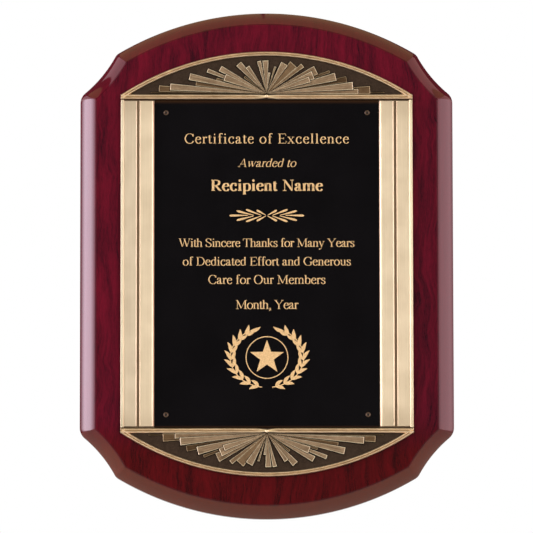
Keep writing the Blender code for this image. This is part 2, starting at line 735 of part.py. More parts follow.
def make_castings(group, surface):
    """Both lunettes and both columns."""
    mesh = lunette_mesh(group)
    top = add_object("top_sunburst_casting", mesh, group)
    bottom = add_object("bottom_sunburst_casting", mesh, group)
    bottom.rotation_euler = (0, math.pi, 0)
    for item in (top, bottom):
        finish(item, surface)
    make_column("left_column_casting", -1, group, surface)
    make_column("right_column_casting", 1, group, surface)


# Plate, pins and screws


def make_plate(group, surface):
    """The engraving plate, drilled for its four pins."""
    half_width = WINDOW_WIDTH / 2 - PLATE_CLEARANCE
    half_height = WINDOW_TOP - PLATE_CLEARANCE
    back, front = CASTING_BACK_Y, CASTING_BACK_Y - PLATE_THICKNESS
    item = box("engraved_plate", (-half_width, front, -half_height), (half_width, back, half_height), group)
    cutters = []
    for x, z in pin_places().values():
        start, end = (x, front - CUT_MARGIN, z), (x, back + CUT_MARGIN, z)
        cutters.append(cylinder("plate_hole", PIN_HOLE_RADIUS, start, end, group, steps=SCREW_STEPS))
    combine(item, cutters, "DIFFERENCE")
    return finish(item, surface)


def make_pins(group, surface):
    """Four round-headed pins with a dimple in the head."""
    seat = CASTING_BACK_Y - PLATE_THICKNESS - GAP
    shank = PIN_LENGTH - PIN_RADIUS
    head, rim = PIN_HEAD_HEIGHT, 0.72 * PIN_HEAD_RADIUS
    profile = [
        (0, 0.45 * head),
        (0.8 * PIN_DIMPLE_RADIUS, 0.45 * head),
        (PIN_DIMPLE_RADIUS, head),
        (rim, head),
        (PIN_HEAD_RADIUS, 0.5 * head),
        (PIN_HEAD_RADIUS, 0),
        (PIN_RADIUS, 0),
        (PIN_RADIUS, -shank),
        (0, -PIN_LENGTH),
    ]
    for corner, (x, z) in pin_places().items():
        item = turned("plate_pin_" + corner, profile, group, steps=SCREW_STEPS)
        item.rotation_euler = (math.radians(90), 0, 0)
        item.location = (x, seat, z)
        finish(item, surface)


def cross_drive(depth, group):
    """The cutter for a cross recess centred on Z, down from z = 0."""
    long, short = DRIVE_LENGTH / 2, DRIVE_WIDTH / 2
    first = box("drive_long", (-long, -short, -depth), (long, short, CUT_MARGIN), group)
    second = box("drive_wide", (-short, -long, -depth * 0.98), (short, long, CUT_MARGIN * 0.98), group)
    return combine(first, [second], "UNION")


def make_casting_screws(group, surface):
    """Pan-head screws in the counterbores, run up into the casting posts."""
    seat = -COUNTERBORE_DEPTH + GAP
    head, radius = SCREW_HEAD_HEIGHT, SCREW_HEAD_RADIUS
    profile = [
        (0, head),
        (0.55 * radius, 0.94 * head),
        (0.86 * radius, 0.70 * head),
        (radius, 0.35 * head),
        (radius, 0),
        (SCREW_RADIUS, 0),
        (SCREW_RADIUS, SCREW_RADIUS - SCREW_LENGTH),
        (0.5 * SCREW_RADIUS, -SCREW_LENGTH),
        (0, -SCREW_LENGTH),
    ]
    pattern = turned("screw_pattern", profile, group, steps=SCREW_STEPS)
    drive = cross_drive(DRIVE_DEPTH, group)
    drive.location.z = head
    combine(pattern, [drive], "DIFFERENCE")
    for casting, places in post_places().items():
        for number, (x, z) in enumerate(places, start=1):
            item = add_object(f"casting_screw_{casting}_{number}", pattern.data, group)
            item.rotation_euler = (math.radians(-90), 0, 0)
            item.location = (x, seat, z)
            finish(item, surface)
    bpy.data.objects.remove(pattern, do_unlink=True)


def keyhole_outline():
    """The round entry hole and the slot that rises from it, as (x, z) points."""
    centre_z = hanger_centre_z() - KEYHOLE_DROP
    slot = KEYHOLE_SLOT_WIDTH / 2
    opening = math.asin(slot / KEYHOLE_RADIUS)
    points = []
    for step in range(ROUND_STEPS + 1):
        angle = math.pi / 2 + opening + (2 * math.pi - 2 * opening) * step / ROUND_STEPS
        points.append((KEYHOLE_RADIUS * math.cos(angle), centre_z + KEYHOLE_RADIUS * math.sin(angle)))
    top = centre_z + KEYHOLE_SLOT_RISE
    for step in range(ROUND_STEPS // 2 + 1):
        angle = math.pi * step / (ROUND_STEPS // 2)
        points.append((slot * math.cos(angle), top + slot * math.sin(angle)))
    return points


def make_hanger(group, surface):
    """The steel keyhole plate, flush with the board's back."""
    z = hanger_centre_z()
    half = HANGER_THICKNESS / 2
    middle_y = -GAP - half
    outline = stadium(HANGER_LENGTH / 2, HANGER_WIDTH / 2, z, ROUND_STEPS // 2)
    item = flat_outline("keyhole_hanger", outline, half, group)
    item.location.y = middle_y
    keyhole = flat_outline("keyhole_cut", keyhole_outline(), half + CUT_MARGIN, group)
    keyhole.location.y = middle_y
    cutters = [keyhole]
    for x, place_z in hanger_screw_places().values():
        profile = [
            (0, CUT_MARGIN),
            (HANGER_SCREW_HEAD_RADIUS + GAP, CUT_MARGIN),
            (HANGER_SCREW_HEAD_RADIUS + GAP, -GAP),
            (HANGER_SCREW_RADIUS + GAP, -GAP - HANGER_SCREW_HEAD_HEIGHT),
            (HANGER_SCREW_RADIUS + GAP, -HANGER_THICKNESS - CUT_MARGIN),
            (0, -HANGER_THICKNESS - CUT_MARGIN),
        ]
        hole = turned("hanger_hole", profile, group, steps=SCREW_STEPS)
        hole.rotation_euler = (math.radians(-90), 0, 0)
        hole.location = (x, 0, place_z)
        cutters.append(hole)
    combine(item, cutters, "DIFFERENCE")
    return finish(item, surface)


def make_hanger_screws(group, surface):
    """Two countersunk wood screws that hold the hanger."""
    head = HANGER_SCREW_HEAD_HEIGHT
    profile = [
        (0, 0),
        (HANGER_SCREW_HEAD_RADIUS, 0),
        (HANGER_SCREW_RADIUS, -head),
        (HANGER_SCREW_RADIUS, -0.7 * HANGER_SCREW_LENGTH),
        (0, -HANGER_SCREW_LENGTH),
    ]
    pattern = turned("hanger_screw_pattern", profile, group, steps=SCREW_STEPS)
    combine(pattern, [cross_drive(0.6 * head, group)], "DIFFERENCE")
    for side, (x, z) in hanger_screw_places().items():
        item = add_object("hanger_screw_" + side, pattern.data, group)
        item.rotation_euler = (math.radians(-90), 0, 0)
        item.location = (x, -GAP, z)
        finish(item, surface)
    bpy.data.objects.remove(pattern, do_unlink=True)


def main():
    """Build the plaque."""
    clear_scene()
    plaque = new_collection("award_plaque")
    make_backboard(plaque, material("burgundy_lacquer", (0.150, 0.008, 0.018), 0.12, 0.0))
    make_castings(plaque, material("antique_bronze", (0.46, 0.33, 0.18), 0.38, 1.0))
    make_plate(plaque, material("black_brass", (0.006, 0.006, 0.007), 0.30, 0.6))
    make_pins(plaque, material("pin_bronze", (0.40, 0.25, 0.12), 0.35, 1.0))
    make_casting_screws(plaque, material("zinc_screw", (0.62, 0.62, 0.60), 0.35, 1.0))
    make_hanger(plaque, material("hanger_steel", (0.55, 0.55, 0.56), 0.40, 1.0))
    make_hanger_screws(plaque, material("hanger_screw_steel", (0.50, 0.50, 0.50), 0.40, 1.0))


main()
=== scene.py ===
import math

import bmesh
import bpy
from mathutils import Matrix, Vector
from mathutils.kdtree import KDTree


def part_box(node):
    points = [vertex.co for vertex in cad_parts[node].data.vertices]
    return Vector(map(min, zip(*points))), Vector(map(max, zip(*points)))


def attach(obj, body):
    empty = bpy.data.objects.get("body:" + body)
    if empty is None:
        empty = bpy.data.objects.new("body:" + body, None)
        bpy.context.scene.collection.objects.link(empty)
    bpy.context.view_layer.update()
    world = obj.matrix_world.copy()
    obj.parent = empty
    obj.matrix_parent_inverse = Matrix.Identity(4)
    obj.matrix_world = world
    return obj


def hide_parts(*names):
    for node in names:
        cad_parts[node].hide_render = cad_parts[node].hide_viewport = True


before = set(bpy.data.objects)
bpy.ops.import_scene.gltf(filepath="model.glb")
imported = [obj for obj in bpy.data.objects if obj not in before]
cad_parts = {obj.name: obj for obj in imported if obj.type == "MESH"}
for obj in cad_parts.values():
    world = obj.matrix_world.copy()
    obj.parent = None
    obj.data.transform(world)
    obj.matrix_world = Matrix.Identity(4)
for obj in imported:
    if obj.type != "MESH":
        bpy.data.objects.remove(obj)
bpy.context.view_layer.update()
root = "root"
mm = 0.001


# ---- small helpers

def pickOnly(item):
    bpy.ops.object.select_all(action="DESELECT")
    item.select_set(True)
    bpy.context.view_layer.objects.active = item
    return item


def editMode(item, selectMode="VERT"):
    pickOnly(item)
    bpy.ops.object.mode_set(mode="EDIT")
    bpy.ops.mesh.select_mode(type=selectMode)
    bpy.ops.mesh.select_all(action="DESELECT")
    return bmesh.from_edit_mesh(item.data)


def objectMode():
    bpy.ops.object.mode_set(mode="OBJECT")


def selectFaces(item, wanted):
    bm = editMode(item, "FACE")
    for face in bm.faces:
        face.select_set(wanted(face))
    bmesh.update_edit_mesh(item.data)


def closeUp(item):    # doubles merged, faces outward
    editMode(item)
    bpy.ops.mesh.select_all(action="SELECT")
    bpy.ops.mesh.remove_doubles(threshold=0.000002)
    bpy.ops.mesh.normals_make_consistent(inside=False)
    objectMode()
    return item


def applied(item, kind, **settings):    # a modifier added and applied at once
    pickOnly(item)
    change = item.modifiers.new(kind.lower(), kind)
    for key, value in settings.items():
        setattr(change, key, value)
    bpy.ops.object.modifier_apply(modifier=change.name)
    return item


def soften(item, width, segments=2, angle=25):    # small rounded arrises, with the flats kept flat
    applied(item, "BEVEL", width=width, segments=segments, limit_method="ANGLE",
            angle_limit=math.radians(angle), miter_outer="MITER_ARC")
    bpy.ops.object.shade_smooth()
    return applied(item, "WEIGHTED_NORMAL", weight=100, keep_sharp=False)


def place(item):    # leaves the object at the origin, with its place in its mesh
    pickOnly(item)
    bpy.ops.object.transform_apply(location=True, rotation=True, scale=True)
    return item


def joined(name, pieces):
    bpy.ops.object.select_all(action="DESELECT")
    for piece in pieces:
        piece.select_set(True)
    bpy.context.view_layer.objects.active = pieces[0]
    if len(pieces) > 1:
        bpy.ops.object.join()
    pieces[0].name = name
    pieces[0].data.name = name
    return pieces[0]


def ownCopy(item, name):
    copy = item.copy()
    copy.data = item.data.copy()
    copy.name = name
    copy.data.name = name
    bpy.context.scene.collection.objects.link(copy)
    return copy


def dress(item, *materials):
    item.data.materials.clear()
    for material in materials:
        item.data.materials.append(material)
    return item


def settle(item, slot, *nodes):    # rides, stands for its nodes; its slot is not used
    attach(item, root)
    if nodes:
        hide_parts(*nodes)
    return item


def arcRadius(halfChord, rise):
    return (halfChord ** 2 + rise ** 2) / (2 * rise)


def flatFace(name, points):    # one filled face with its corners put where the outline says
    bpy.ops.object.select_all(action="DESELECT")
    bpy.ops.mesh.primitive_circle_add(vertices=len(points), radius=1, fill_type="NGON")
    face = bpy.context.object
    face.name = name
    face.data.name = name
    for vert, point in zip(face.data.vertices, points):
        vert.co = point
    return face


def loft(name, rings):    # the first ring's face, extruded from ring to ring
    piece = flatFace(name, rings[0])
    selectFaces(piece, lambda face: True)
    for before, after in zip(rings, rings[1:]):
        bpy.ops.mesh.extrude_region()
        bm = bmesh.from_edit_mesh(piece.data)
        tree = KDTree(len(before))
        for index, point in enumerate(before):
            tree.insert(point, index)
        tree.balance()
        for vert in bm.verts:
            if vert.select:
                vert.co = after[tree.find(vert.co)[1]]
        bmesh.update_edit_mesh(piece.data)
    objectMode()
    return closeUp(piece)


def cutAway(piece, tools):
    for tool in tools:
        applied(piece, "BOOLEAN", operation="DIFFERENCE", solver="EXACT", object=tool)
        bpy.data.objects.remove(tool)
    return piece


# ---- shader maths: a wrapped socket, so that an expression adds its own Math nodes

class Wire:
    def __init__(self, paint, socket):
        self.paint = paint
        self.socket = socket

    def sum(self, operation, other, flipped=False):
        values = [other, self] if flipped else [self, other]
        return self.paint.node("ShaderNodeMath", {"operation": operation}, *values)

    def __add__(self, other):
        return self.sum("ADD", other)

    def __radd__(self, other):
        return self.sum("ADD", other, True)

    def __sub__(self, other):
        return self.sum("SUBTRACT", other)

    def __rsub__(self, other):
        return self.sum("SUBTRACT", other, True)

    def __mul__(self, other):
        return self.sum("MULTIPLY", other)

    def __rmul__(self, other):
        return self.sum("MULTIPLY", other, True)

    def __gt__(self, other):
        return self.sum("GREATER_THAN", other)

    def __lt__(self, other):
        return self.sum("LESS_THAN", other)

    def clamped(self):
        return self.paint.node("ShaderNodeClamp", {}, self)

    def step(self, low, high):    # 0 below low, 1 above high, smooth between
        settings = {"interpolation_type": "SMOOTHSTEP"}
        return self.paint.node("ShaderNodeMapRange", settings, self, low, high)


class Paint:
    def __init__(self, name, **constants):
        self.material = bpy.data.materials.new(name)
        self.material.use_nodes = True
        self.tree = self.material.node_tree
        self.shader = self.tree.nodes["Principled BSDF"]
        for socket, value in constants.items():
            self.shader.inputs[socket.replace("_", " ")].default_value = value

    def node(self, kind, settings, *values, out=0, **named):
        made = self.tree.nodes.new(kind)
        for key, value in settings.items():
            if key == "stops":
                self.setStops(made.color_ramp, value)
            else:
                setattr(made, key, value)
        for slot, value in list(enumerate(values)) + list(named.items()):
            if value is None:
                continue
            socket = made.inputs[slot if isinstance(slot, int) else slot.replace("_", " ")]
            if isinstance(value, Wire):
                self.tree.links.new(value.socket, socket)
            else:
                socket.default_value = value
        return Wire(self, made.outputs[out] if made.outputs else None)

    def setStops(self, ramp, stops):
        while len(ramp.elements) > 1:
            ramp.elements.remove(ramp.elements[-1])
        ramp.elements[0].position = stops[0][0]
        ramp.elements[0].color = stops[0][1]
        for position, colour in stops[1:]:
            ramp.elements.new(position).color = colour

    def coords(self):
        return self.node("ShaderNodeTexCoord", {}, out=3)

    def uv(self, name):
        return self.node("ShaderNodeUVMap", {"uv_map": name})

    def stretched(self, vector, scale):
        return self.node("ShaderNodeMapping", {}, vector, Scale=scale)

    def noise(self, vector, scale, detail=3.0, roughness=0.5):
        return self.node("ShaderNodeTexNoise", {}, Vector=vector, Scale=scale, Detail=detail,
                         Roughness=roughness)

    def axis(self, vector, index):
        return self.node("ShaderNodeSeparateXYZ", {}, vector, out=index)

    def ramp(self, value, *stops):
        return self.node("ShaderNodeValToRGB", {"stops": [(p, (*c, 1)) for p, c in stops]}, value)

    def mix(self, share, first, second, blend="MIX"):
        made = self.tree.nodes.new("ShaderNodeMix")
        made.data_type = "RGBA"
        made.blend_type = blend
        for index, value in ((0, share), (6, first), (7, second)):
            if isinstance(value, Wire):
                self.tree.links.new(value.socket, made.inputs[index])
            elif index:
                made.inputs[index].default_value = (*value, 1)
            else:
                made.inputs[index].default_value = value
        return Wire(self, made.outputs[2])

    def bump(self, height, distance, strength=1.0):
        return self.node("ShaderNodeBump", {}, Strength=strength, Distance=distance, Height=height)

    def feed(self, **sockets):
        for socket, wire in sockets.items():
            self.tree.links.new(wire.socket, self.shader.inputs[socket.replace("_", " ")])
        return self.material


# ---- finishes

lacquerLook = {
    "dark": (0.034, 0.0026, 0.0080), "middle": (0.088, 0.0038, 0.0124), "light": (0.136, 0.0048, 0.0170),
    # the arris colour is painted shade along the edge of the face; the slit colour, with its half sizes, is
    # painted shadow in the slit round the plate
    "arris": (0.040, 0.0015, 0.0040), "joint": (0.006, 0.004, 0.003), "jointHalf": (0.0850, 0.1236),
    "bevel": (0.073, 0.0032, 0.0085), "footBevel": (0.088, 0.0150, 0.0055),
    "lower": (0.84, 0.72, 0.34), "dimmer": (0.76, 0.94, 0.86),
    "back": ((0.009, 0.0062, 0.0055), (0.036, 0.0260, 0.0220)),
    "raw": ((0.055, 0.026, 0.012), (0.120, 0.062, 0.030)),
    "bored": (0.105, 0.153, 0.0095), "streak": 420.0, "figure": 130.0, "pore": 1900.0, "swirl": 24.0,
    "backDepth": 0.0006, "face": 0.0190,
}


def lacqueredVeneer():
    look = lacquerLook
    paint = Paint("lacqueredVeneer", Roughness=0.5, Coat_Weight=1.0, Coat_Roughness=0.045,
                  Coat_IOR=1.55, IOR=1.3, Specular_IOR_Level=0.0)
    here = paint.coords()
    swirl = paint.noise(here, look["swirl"], 2.0, 0.5) - 0.5
    drift = paint.node("ShaderNodeCombineXYZ", {}, swirl * 0.020, 0.0, swirl * 0.030)
    moved = paint.node("ShaderNodeVectorMath", {"operation": "ADD"}, here, drift)
    streaks = paint.noise(paint.stretched(moved, (1, 1, 0.07)), look["streak"], 3.0, 0.6)
    figure = paint.noise(paint.stretched(moved, (1, 1, 0.16)), look["figure"], 3.0, 0.55)
    pores = paint.noise(paint.stretched(here, (1, 1, 0.12)), look["pore"], 2.0, 0.7)
    tone = figure * 0.40 + streaks * 0.32 + pores * 0.28
    veneer = paint.ramp(tone, (0.38, look["dark"]), (0.50, look["middle"]), (0.62, look["light"]))
    x, y, z = (paint.axis(here, index) for index in range(3))
    low = (z * -1).step(0.112, 0.146)    # the sheet is redder at its foot and dims towards the lower right
    veneer = paint.mix(low, veneer, paint.mix(1.0, veneer, look["lower"], "MULTIPLY"))
    shade = (x - z + 0.02).step(-0.12, 0.30)
    veneer = paint.mix(shade, veneer, paint.mix(1.0, veneer, look["dimmer"], "MULTIPLY"))
    bevel = paint.mix(low, look["bevel"], look["footBevel"])
    veneer = paint.mix((y + look["face"]).step(0.0002, 0.0014) * 0.8, veneer, bevel)
    depth = y + look["face"]
    # painted shade: a fine dark line along the edge of the face, with the coat taken off along it
    arris = depth.step(0.00002, 0.00006) * (1 - depth.step(0.0003, 0.0006)) * 0.7
    veneer = paint.mix(arris, veneer, look["arris"])
    across, up = (paint.node("ShaderNodeMath", {"operation": "ABSOLUTE"}, side) for side in (x, z))
    halfX, halfZ = look["jointHalf"]    # painted shadow in the slit round the plate
    joint = (across < halfX) * (up < halfZ) * (y < -0.010)
    veneer = paint.mix(joint, veneer, look["joint"])
    onBack = y > -look["backDepth"]
    fibres = paint.noise(paint.stretched(here, (1, 1, 0.3)), 700.0, 4.0, 0.75)
    boredX, boredZ, boredY = look["bored"]    # raw wood inside the counterbores and the hanger's pocket
    cut = (across < boredX) * (up < boredZ) * (y > -boredY) * (1 - onBack)
    colour = paint.mix(cut, veneer, paint.ramp(fibres, *zip((0.35, 0.65), look["raw"])))
    colour = paint.mix(onBack, colour, paint.ramp(fibres, *zip((0.35, 0.65), look["back"])))
    ripple = paint.noise(here, 240.0, 2.0)
    coat = (1 - arris) * (1 - joint * 0.95) * (1 - onBack * 0.9) * (1 - cut)
    return paint.feed(Base_Color=colour, Coat_Weight=coat, Normal=paint.bump(ripple, 0.00001, 0.3))


bronzeLook = {    # patina, with painted shade between the rays and in the grooves, darkens what lies low: between these two depths
    "low": 0.0210, "high": 0.0222, "umber": (0.15, 0.115, 0.085), "brown": (0.64, 0.57, 0.49),
}


def bronze(name, dark, light, roughness, grain, depth=0.00003, streaks=None, patinaAndShade=False, barGlow=False):
    # cast bronze: two tones mottled together, with fine brushing along one direction
    paint = Paint(name, Metallic=1.0, Roughness=roughness)
    here = paint.coords()
    cloud = paint.noise(here, 260.0, 4.0, 0.6)
    lines = paint.noise(paint.stretched(here if streaks is None else paint.uv(streaks), grain), 1.0, 2.0, 0.6)
    tone = cloud * 0.40 + lines * 0.60
    colour = paint.ramp(tone, (0.34, dark), (0.66, light))
    if patinaAndShade:
        # patina in the hollows and painted shade: the lower rays, the walls and the grooves go darker
        rise = (paint.axis(here, 1) * -1).step(bronzeLook["low"], bronzeLook["high"])
        tint = paint.ramp(rise, (0.0, bronzeLook["umber"]), (0.5, bronzeLook["brown"]), (1.0, (1, 1, 1)))
        colour = paint.mix(1.0, colour, tint, "MULTIPLY")
    if barGlow:    # painted highlight: a glow brightens the middle of each bar, beside the knot
        aside = paint.node("ShaderNodeMath", {"operation": "ABSOLUTE"}, paint.axis(here, 0))
        height = paint.node("ShaderNodeMath", {"operation": "ABSOLUTE"}, paint.axis(here, 2))
        glowShare = (1 - aside.step(0.0015, 0.0105)) * (1 - height.step(0.132, 0.134))
        colour = paint.mix(glowShare * 0.8, colour, (0.96, 0.84, 0.62))
    rough = (tone - 0.5) * 0.2 + roughness
    return paint.feed(Base_Color=colour, Roughness=rough.clamped(), Normal=paint.bump(lines, depth, 0.4))


def satinColumn():    # brushed along its length, with a little painted shade towards both ends, where the bars meet it
    paint = Paint("satinColumn", Metallic=1.0, Roughness=0.48)
    here = paint.coords()
    lines = paint.noise(paint.stretched(here, (2400, 2400, 16)), 1.0, 2.0, 0.6)
    cloud = paint.noise(here, 60.0, 3.0)
    tone = cloud * 0.5 + lines * 0.5
    colour = paint.ramp(tone, (0.34, (0.74, 0.60, 0.415)), (0.66, (0.86, 0.72, 0.52)))
    height = paint.node("ShaderNodeMath", {"operation": "ABSOLUTE"}, paint.axis(here, 2))
    # painted shade near both ends
    endShade = height.step(0.100, 0.1235)
    colour = paint.mix(endShade * 0.5, colour, (0.52, 0.40, 0.26))
    outerLeftShade = 1 - paint.axis(here, 0).step(-0.0974, -0.0966)    # painted shade: this band is a little duller
    colour = paint.mix(outerLeftShade * 0.9, colour, paint.mix(1.0, colour, (0.90, 0.90, 0.92), "MULTIPLY"))
    # painted shade: the beads at the outer edges are darkened
    aside = paint.node("ShaderNodeMath", {"operation": "ABSOLUTE"}, paint.axis(here, 0))
    bead = aside.step(0.1066, 0.1074)
    colour = paint.mix(bead, colour, paint.mix(1.0, colour, (0.80, 0.86, 0.84), "MULTIPLY"))
    # what lies low goes dark: patina in the flute, and painted shadow on the low sides and on the tongue that
    # fills the gaps at both ends
    low = 1 - (paint.axis(here, 1) * -1).step(0.0209, 0.0219)
    colour = paint.mix(low * 0.88, colour, (0.19, 0.125, 0.075))
    rough = (tone - 0.5) * 0.16 + 0.48
    return paint.feed(Base_Color=colour, Roughness=rough, Normal=paint.bump(lines, 0.00001, 0.35))


def engravedGold():
    paint = Paint("engravedGold", Metallic=0.3, Roughness=0.5)
    grit = paint.noise(paint.coords(), 1800.0, 3.0, 0.7)
    colour = paint.ramp(grit, (0.35, (0.52, 0.32, 0.13)), (0.62, (0.84, 0.59, 0.30)))
    return paint.feed(Base_Color=colour, Normal=paint.bump(grit, 0.00002, 0.4))


def blackPlate():
    paint = Paint("blackPlate", Metallic=0.0, Roughness=0.16, Specular_IOR_Level=0.24)
    here = paint.coords()
    brushed = paint.noise(paint.stretched(here, (20, 20, 2600)), 1.0, 2.0, 0.6)
    haze = paint.noise(here, 30.0, 3.0)
    colour = paint.ramp(haze, (0.3, (0.0028, 0.0025, 0.0030)), (0.7, (0.0040, 0.0036, 0.0043)))
    height = paint.axis(here, 2)
    # bronze mirrored beside the bars
    warm = height.step(0.1195, 0.1232) + (height * -1).step(0.1212, 0.1232)
    colour = paint.mix(warm.clamped(), colour, (0.034, 0.015, 0.006))
    rough = brushed * 0.08 + 0.10
    return paint.feed(Base_Color=colour, Roughness=rough, Normal=paint.bump(brushed, 0.000003, 0.25))


def plated(name, tint, roughness, hollow=None, metallic=1.0):
    paint = Paint(name, Metallic=metallic, Roughness=roughness)
    here = paint.coords()
    cloud = paint.noise(here, 420.0, 4.0, 0.65)
    colour = paint.ramp(cloud, (0.35, tuple(0.74 * part for part in tint)), (0.65, tint))
    if hollow:    # painted shade in the dimple and on the flanks: darker below the crest, by depth
        low = 1 - (paint.axis(here, 1) * -1).step(*hollow)
        colour = paint.mix(low, colour, (0.012, 0.008, 0.006))
    rough = (cloud - 0.5) * 0.3 + roughness
    return paint.feed(Base_Color=colour, Roughness=rough.clamped(), Normal=paint.bump(cloud, 0.00002, 0.4))


print("finishes")
veneerFinish = lacqueredVeneer()
fieldFinish = bronze("antiquedField", (0.034, 0.022, 0.015), (0.064, 0.042, 0.029), 0.55, (900, 900, 900),
                     0.00006)
# painted shadow: a near-black finish for the ledges and walls of the rays
gapShadowFinish = bronze("darkGap", (0.006, 0.004, 0.0025), (0.016, 0.011, 0.007), 0.60, (900, 900, 900), 0.00004)
panelFinish = bronze("brushedPanel", (0.21, 0.138, 0.080), (0.46, 0.318, 0.196), 0.44, (30, 1800, 1),
                     streaks="brush", patinaAndShade=True)
edgeFinish = bronze("rubbedEdge", (0.86, 0.70, 0.47), (0.99, 0.88, 0.65), 0.42, (300, 300, 300), patinaAndShade=True)
ridgeFinish = bronze("castRidge", (0.66, 0.515, 0.35), (0.90, 0.74, 0.53), 0.42, (60, 700, 700), patinaAndShade=True,
                     barGlow=True)
columnFinish = satinColumn()
goldFinish = engravedGold()
plateFinish = blackPlate()
pinFinish = plated("pinBronze", (0.105, 0.068, 0.044), 0.40, (0.0205, 0.0207), 0.65)
screwFinish = plated("zincScrew", (0.66, 0.65, 0.61), 0.32)
hangerFinish = plated("hangerSteel", (0.43, 0.43, 0.44), 0.38)


# ---- board

boardLook = {
    "crownRise": 31.4 * mm, "shoulderWidth": 27.0 * mm, "shoulderHeight": 32.1 * mm, "coveRadius": 97.0 * mm,
    "crownCorner": 8.0 * mm, "sideCorner": 10.0 * mm, "leastCorner": 2.0 * mm,
    "endBevel": 10.3 * mm, "sideBevel": 12.4 * mm, "bevelDepth": 11.0 * mm, "bevelCrown": 1.1 * mm,
    "backArris": 0.8 * mm, "bevelSteps": 16, "crownSteps": 40, "cornerSteps": 10, "coveSteps": 22,
    "bore": 4.0 * mm, "boreDepth": 4.5 * mm,
    "recess": 2.1 * mm, "pocketDepth": 9.1 * mm, "pocketHalf": 5.8 * mm, "pocketMargin": 1.7 * mm,
    "fit": 0.3 * mm, "boreSteps": 48, "recessSteps": 24,
}


def circlesMeet(centreA, radiusA, centreB, radiusB, near):
    between = centreB - centreA
    along = (radiusA ** 2 - radiusB ** 2 + between.length ** 2) / (2 * between.length)
    across = math.sqrt(radiusA ** 2 - along ** 2)
    foot = centreA + between * (along / between.length)
    side = Vector((-between.y, between.x)) * (across / between.length)
    return min((foot + side, foot - side), key=lambda point: (point - near).length)


def arcPoints(centre, radius, start, end, steps):
    first = math.atan2(start.y - centre.y, start.x - centre.x)
    turn = math.atan2(end.y - centre.y, end.x - centre.x) - first
    turn = (turn + math.pi) % (2 * math.pi) - math.pi
    angles = [first + turn * step / steps for step in range(steps + 1)]
    return [centre + radius * Vector((math.cos(angle), math.sin(angle))) for angle in angles]


def boardQuarter(share):    # from the crown's top round to the side, set in by a share of the bevel
    look = boardLook
    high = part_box("backboard")[1]
    endInset, sideInset = look["endBevel"] * share, look["sideBevel"] * share
    crownCorner = Vector((high.x - look["shoulderWidth"], high.z - look["crownRise"]))
    sideCorner = crownCorner + Vector((look["shoulderWidth"], -look["shoulderHeight"]))
    crownRadius = arcRadius(crownCorner.x, look["crownRise"])
    crownCentre = Vector((0, high.z - crownRadius))
    crownRadius -= endInset
    chord = sideCorner - crownCorner
    outward = Vector((-chord.y, chord.x)).normalized()
    coveCentre = (crownCorner + sideCorner) / 2
    coveCentre += outward * math.sqrt(look["coveRadius"] ** 2 - (chord.length / 2) ** 2)
    coveRadius = look["coveRadius"] + endInset
    sideX = high.x - sideInset

    upper = max(look["crownCorner"] - endInset, look["leastCorner"])
    upperCentre = circlesMeet(crownCentre, crownRadius - upper, coveCentre, coveRadius + upper, crownCorner)
    crownEnd = crownCentre + (upperCentre - crownCentre) * (crownRadius / (crownRadius - upper))
    coveStart = coveCentre + (upperCentre - coveCentre) * (coveRadius / (coveRadius + upper))
    lower = max(look["sideCorner"] - sideInset, look["leastCorner"])
    reach = coveRadius + lower
    lowerX = sideX - lower
    lowerZ = coveCentre.y - math.sqrt(reach ** 2 - (coveCentre.x - lowerX) ** 2)
    lowerCentre = Vector((lowerX, lowerZ))
    coveEnd = coveCentre + (lowerCentre - coveCentre) * (coveRadius / reach)

    points = arcPoints(crownCentre, crownRadius, Vector((0, crownCentre.y + crownRadius)), crownEnd,
                       look["crownSteps"])
    points += arcPoints(upperCentre, upper, crownEnd, coveStart, look["cornerSteps"])[1:]
    points += arcPoints(coveCentre, coveRadius, coveStart, coveEnd, look["coveSteps"])[1:]
    points += arcPoints(lowerCentre, lower, coveEnd, Vector((sideX, lowerZ)), look["cornerSteps"])[1:]
    return points + [Vector((sideX, lowerZ * step / 4)) for step in (3, 2, 1, 0)]


def boardRing(share, y):
    quarter = boardQuarter(share)
    right = quarter + [Vector((point.x, -point.y)) for point in reversed(quarter[:-1])]
    outline = right + [Vector((-point.x, point.y)) for point in reversed(right[1:-1])]
    return [(point.x, y, point.y) for point in outline]


def bevelSteps():    # share of the bevel's width, place in depth: a convex sweep up to the face
    look, face = boardLook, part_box("backboard")[0].y
    width = look["sideBevel"]
    radius = arcRadius(math.hypot(width, look["bevelDepth"]) / 2, look["bevelCrown"])
    start, end = Vector((0, face + look["bevelDepth"])), Vector((width, face))
    chord = end - start
    inward = Vector((-chord.y, chord.x)).normalized()
    centre = (start + end) / 2 + inward * math.sqrt(radius ** 2 - (chord.length / 2) ** 2)
    return [(point.x / width, point.y) for point in arcPoints(centre, radius, start, end, look["bevelSteps"])]


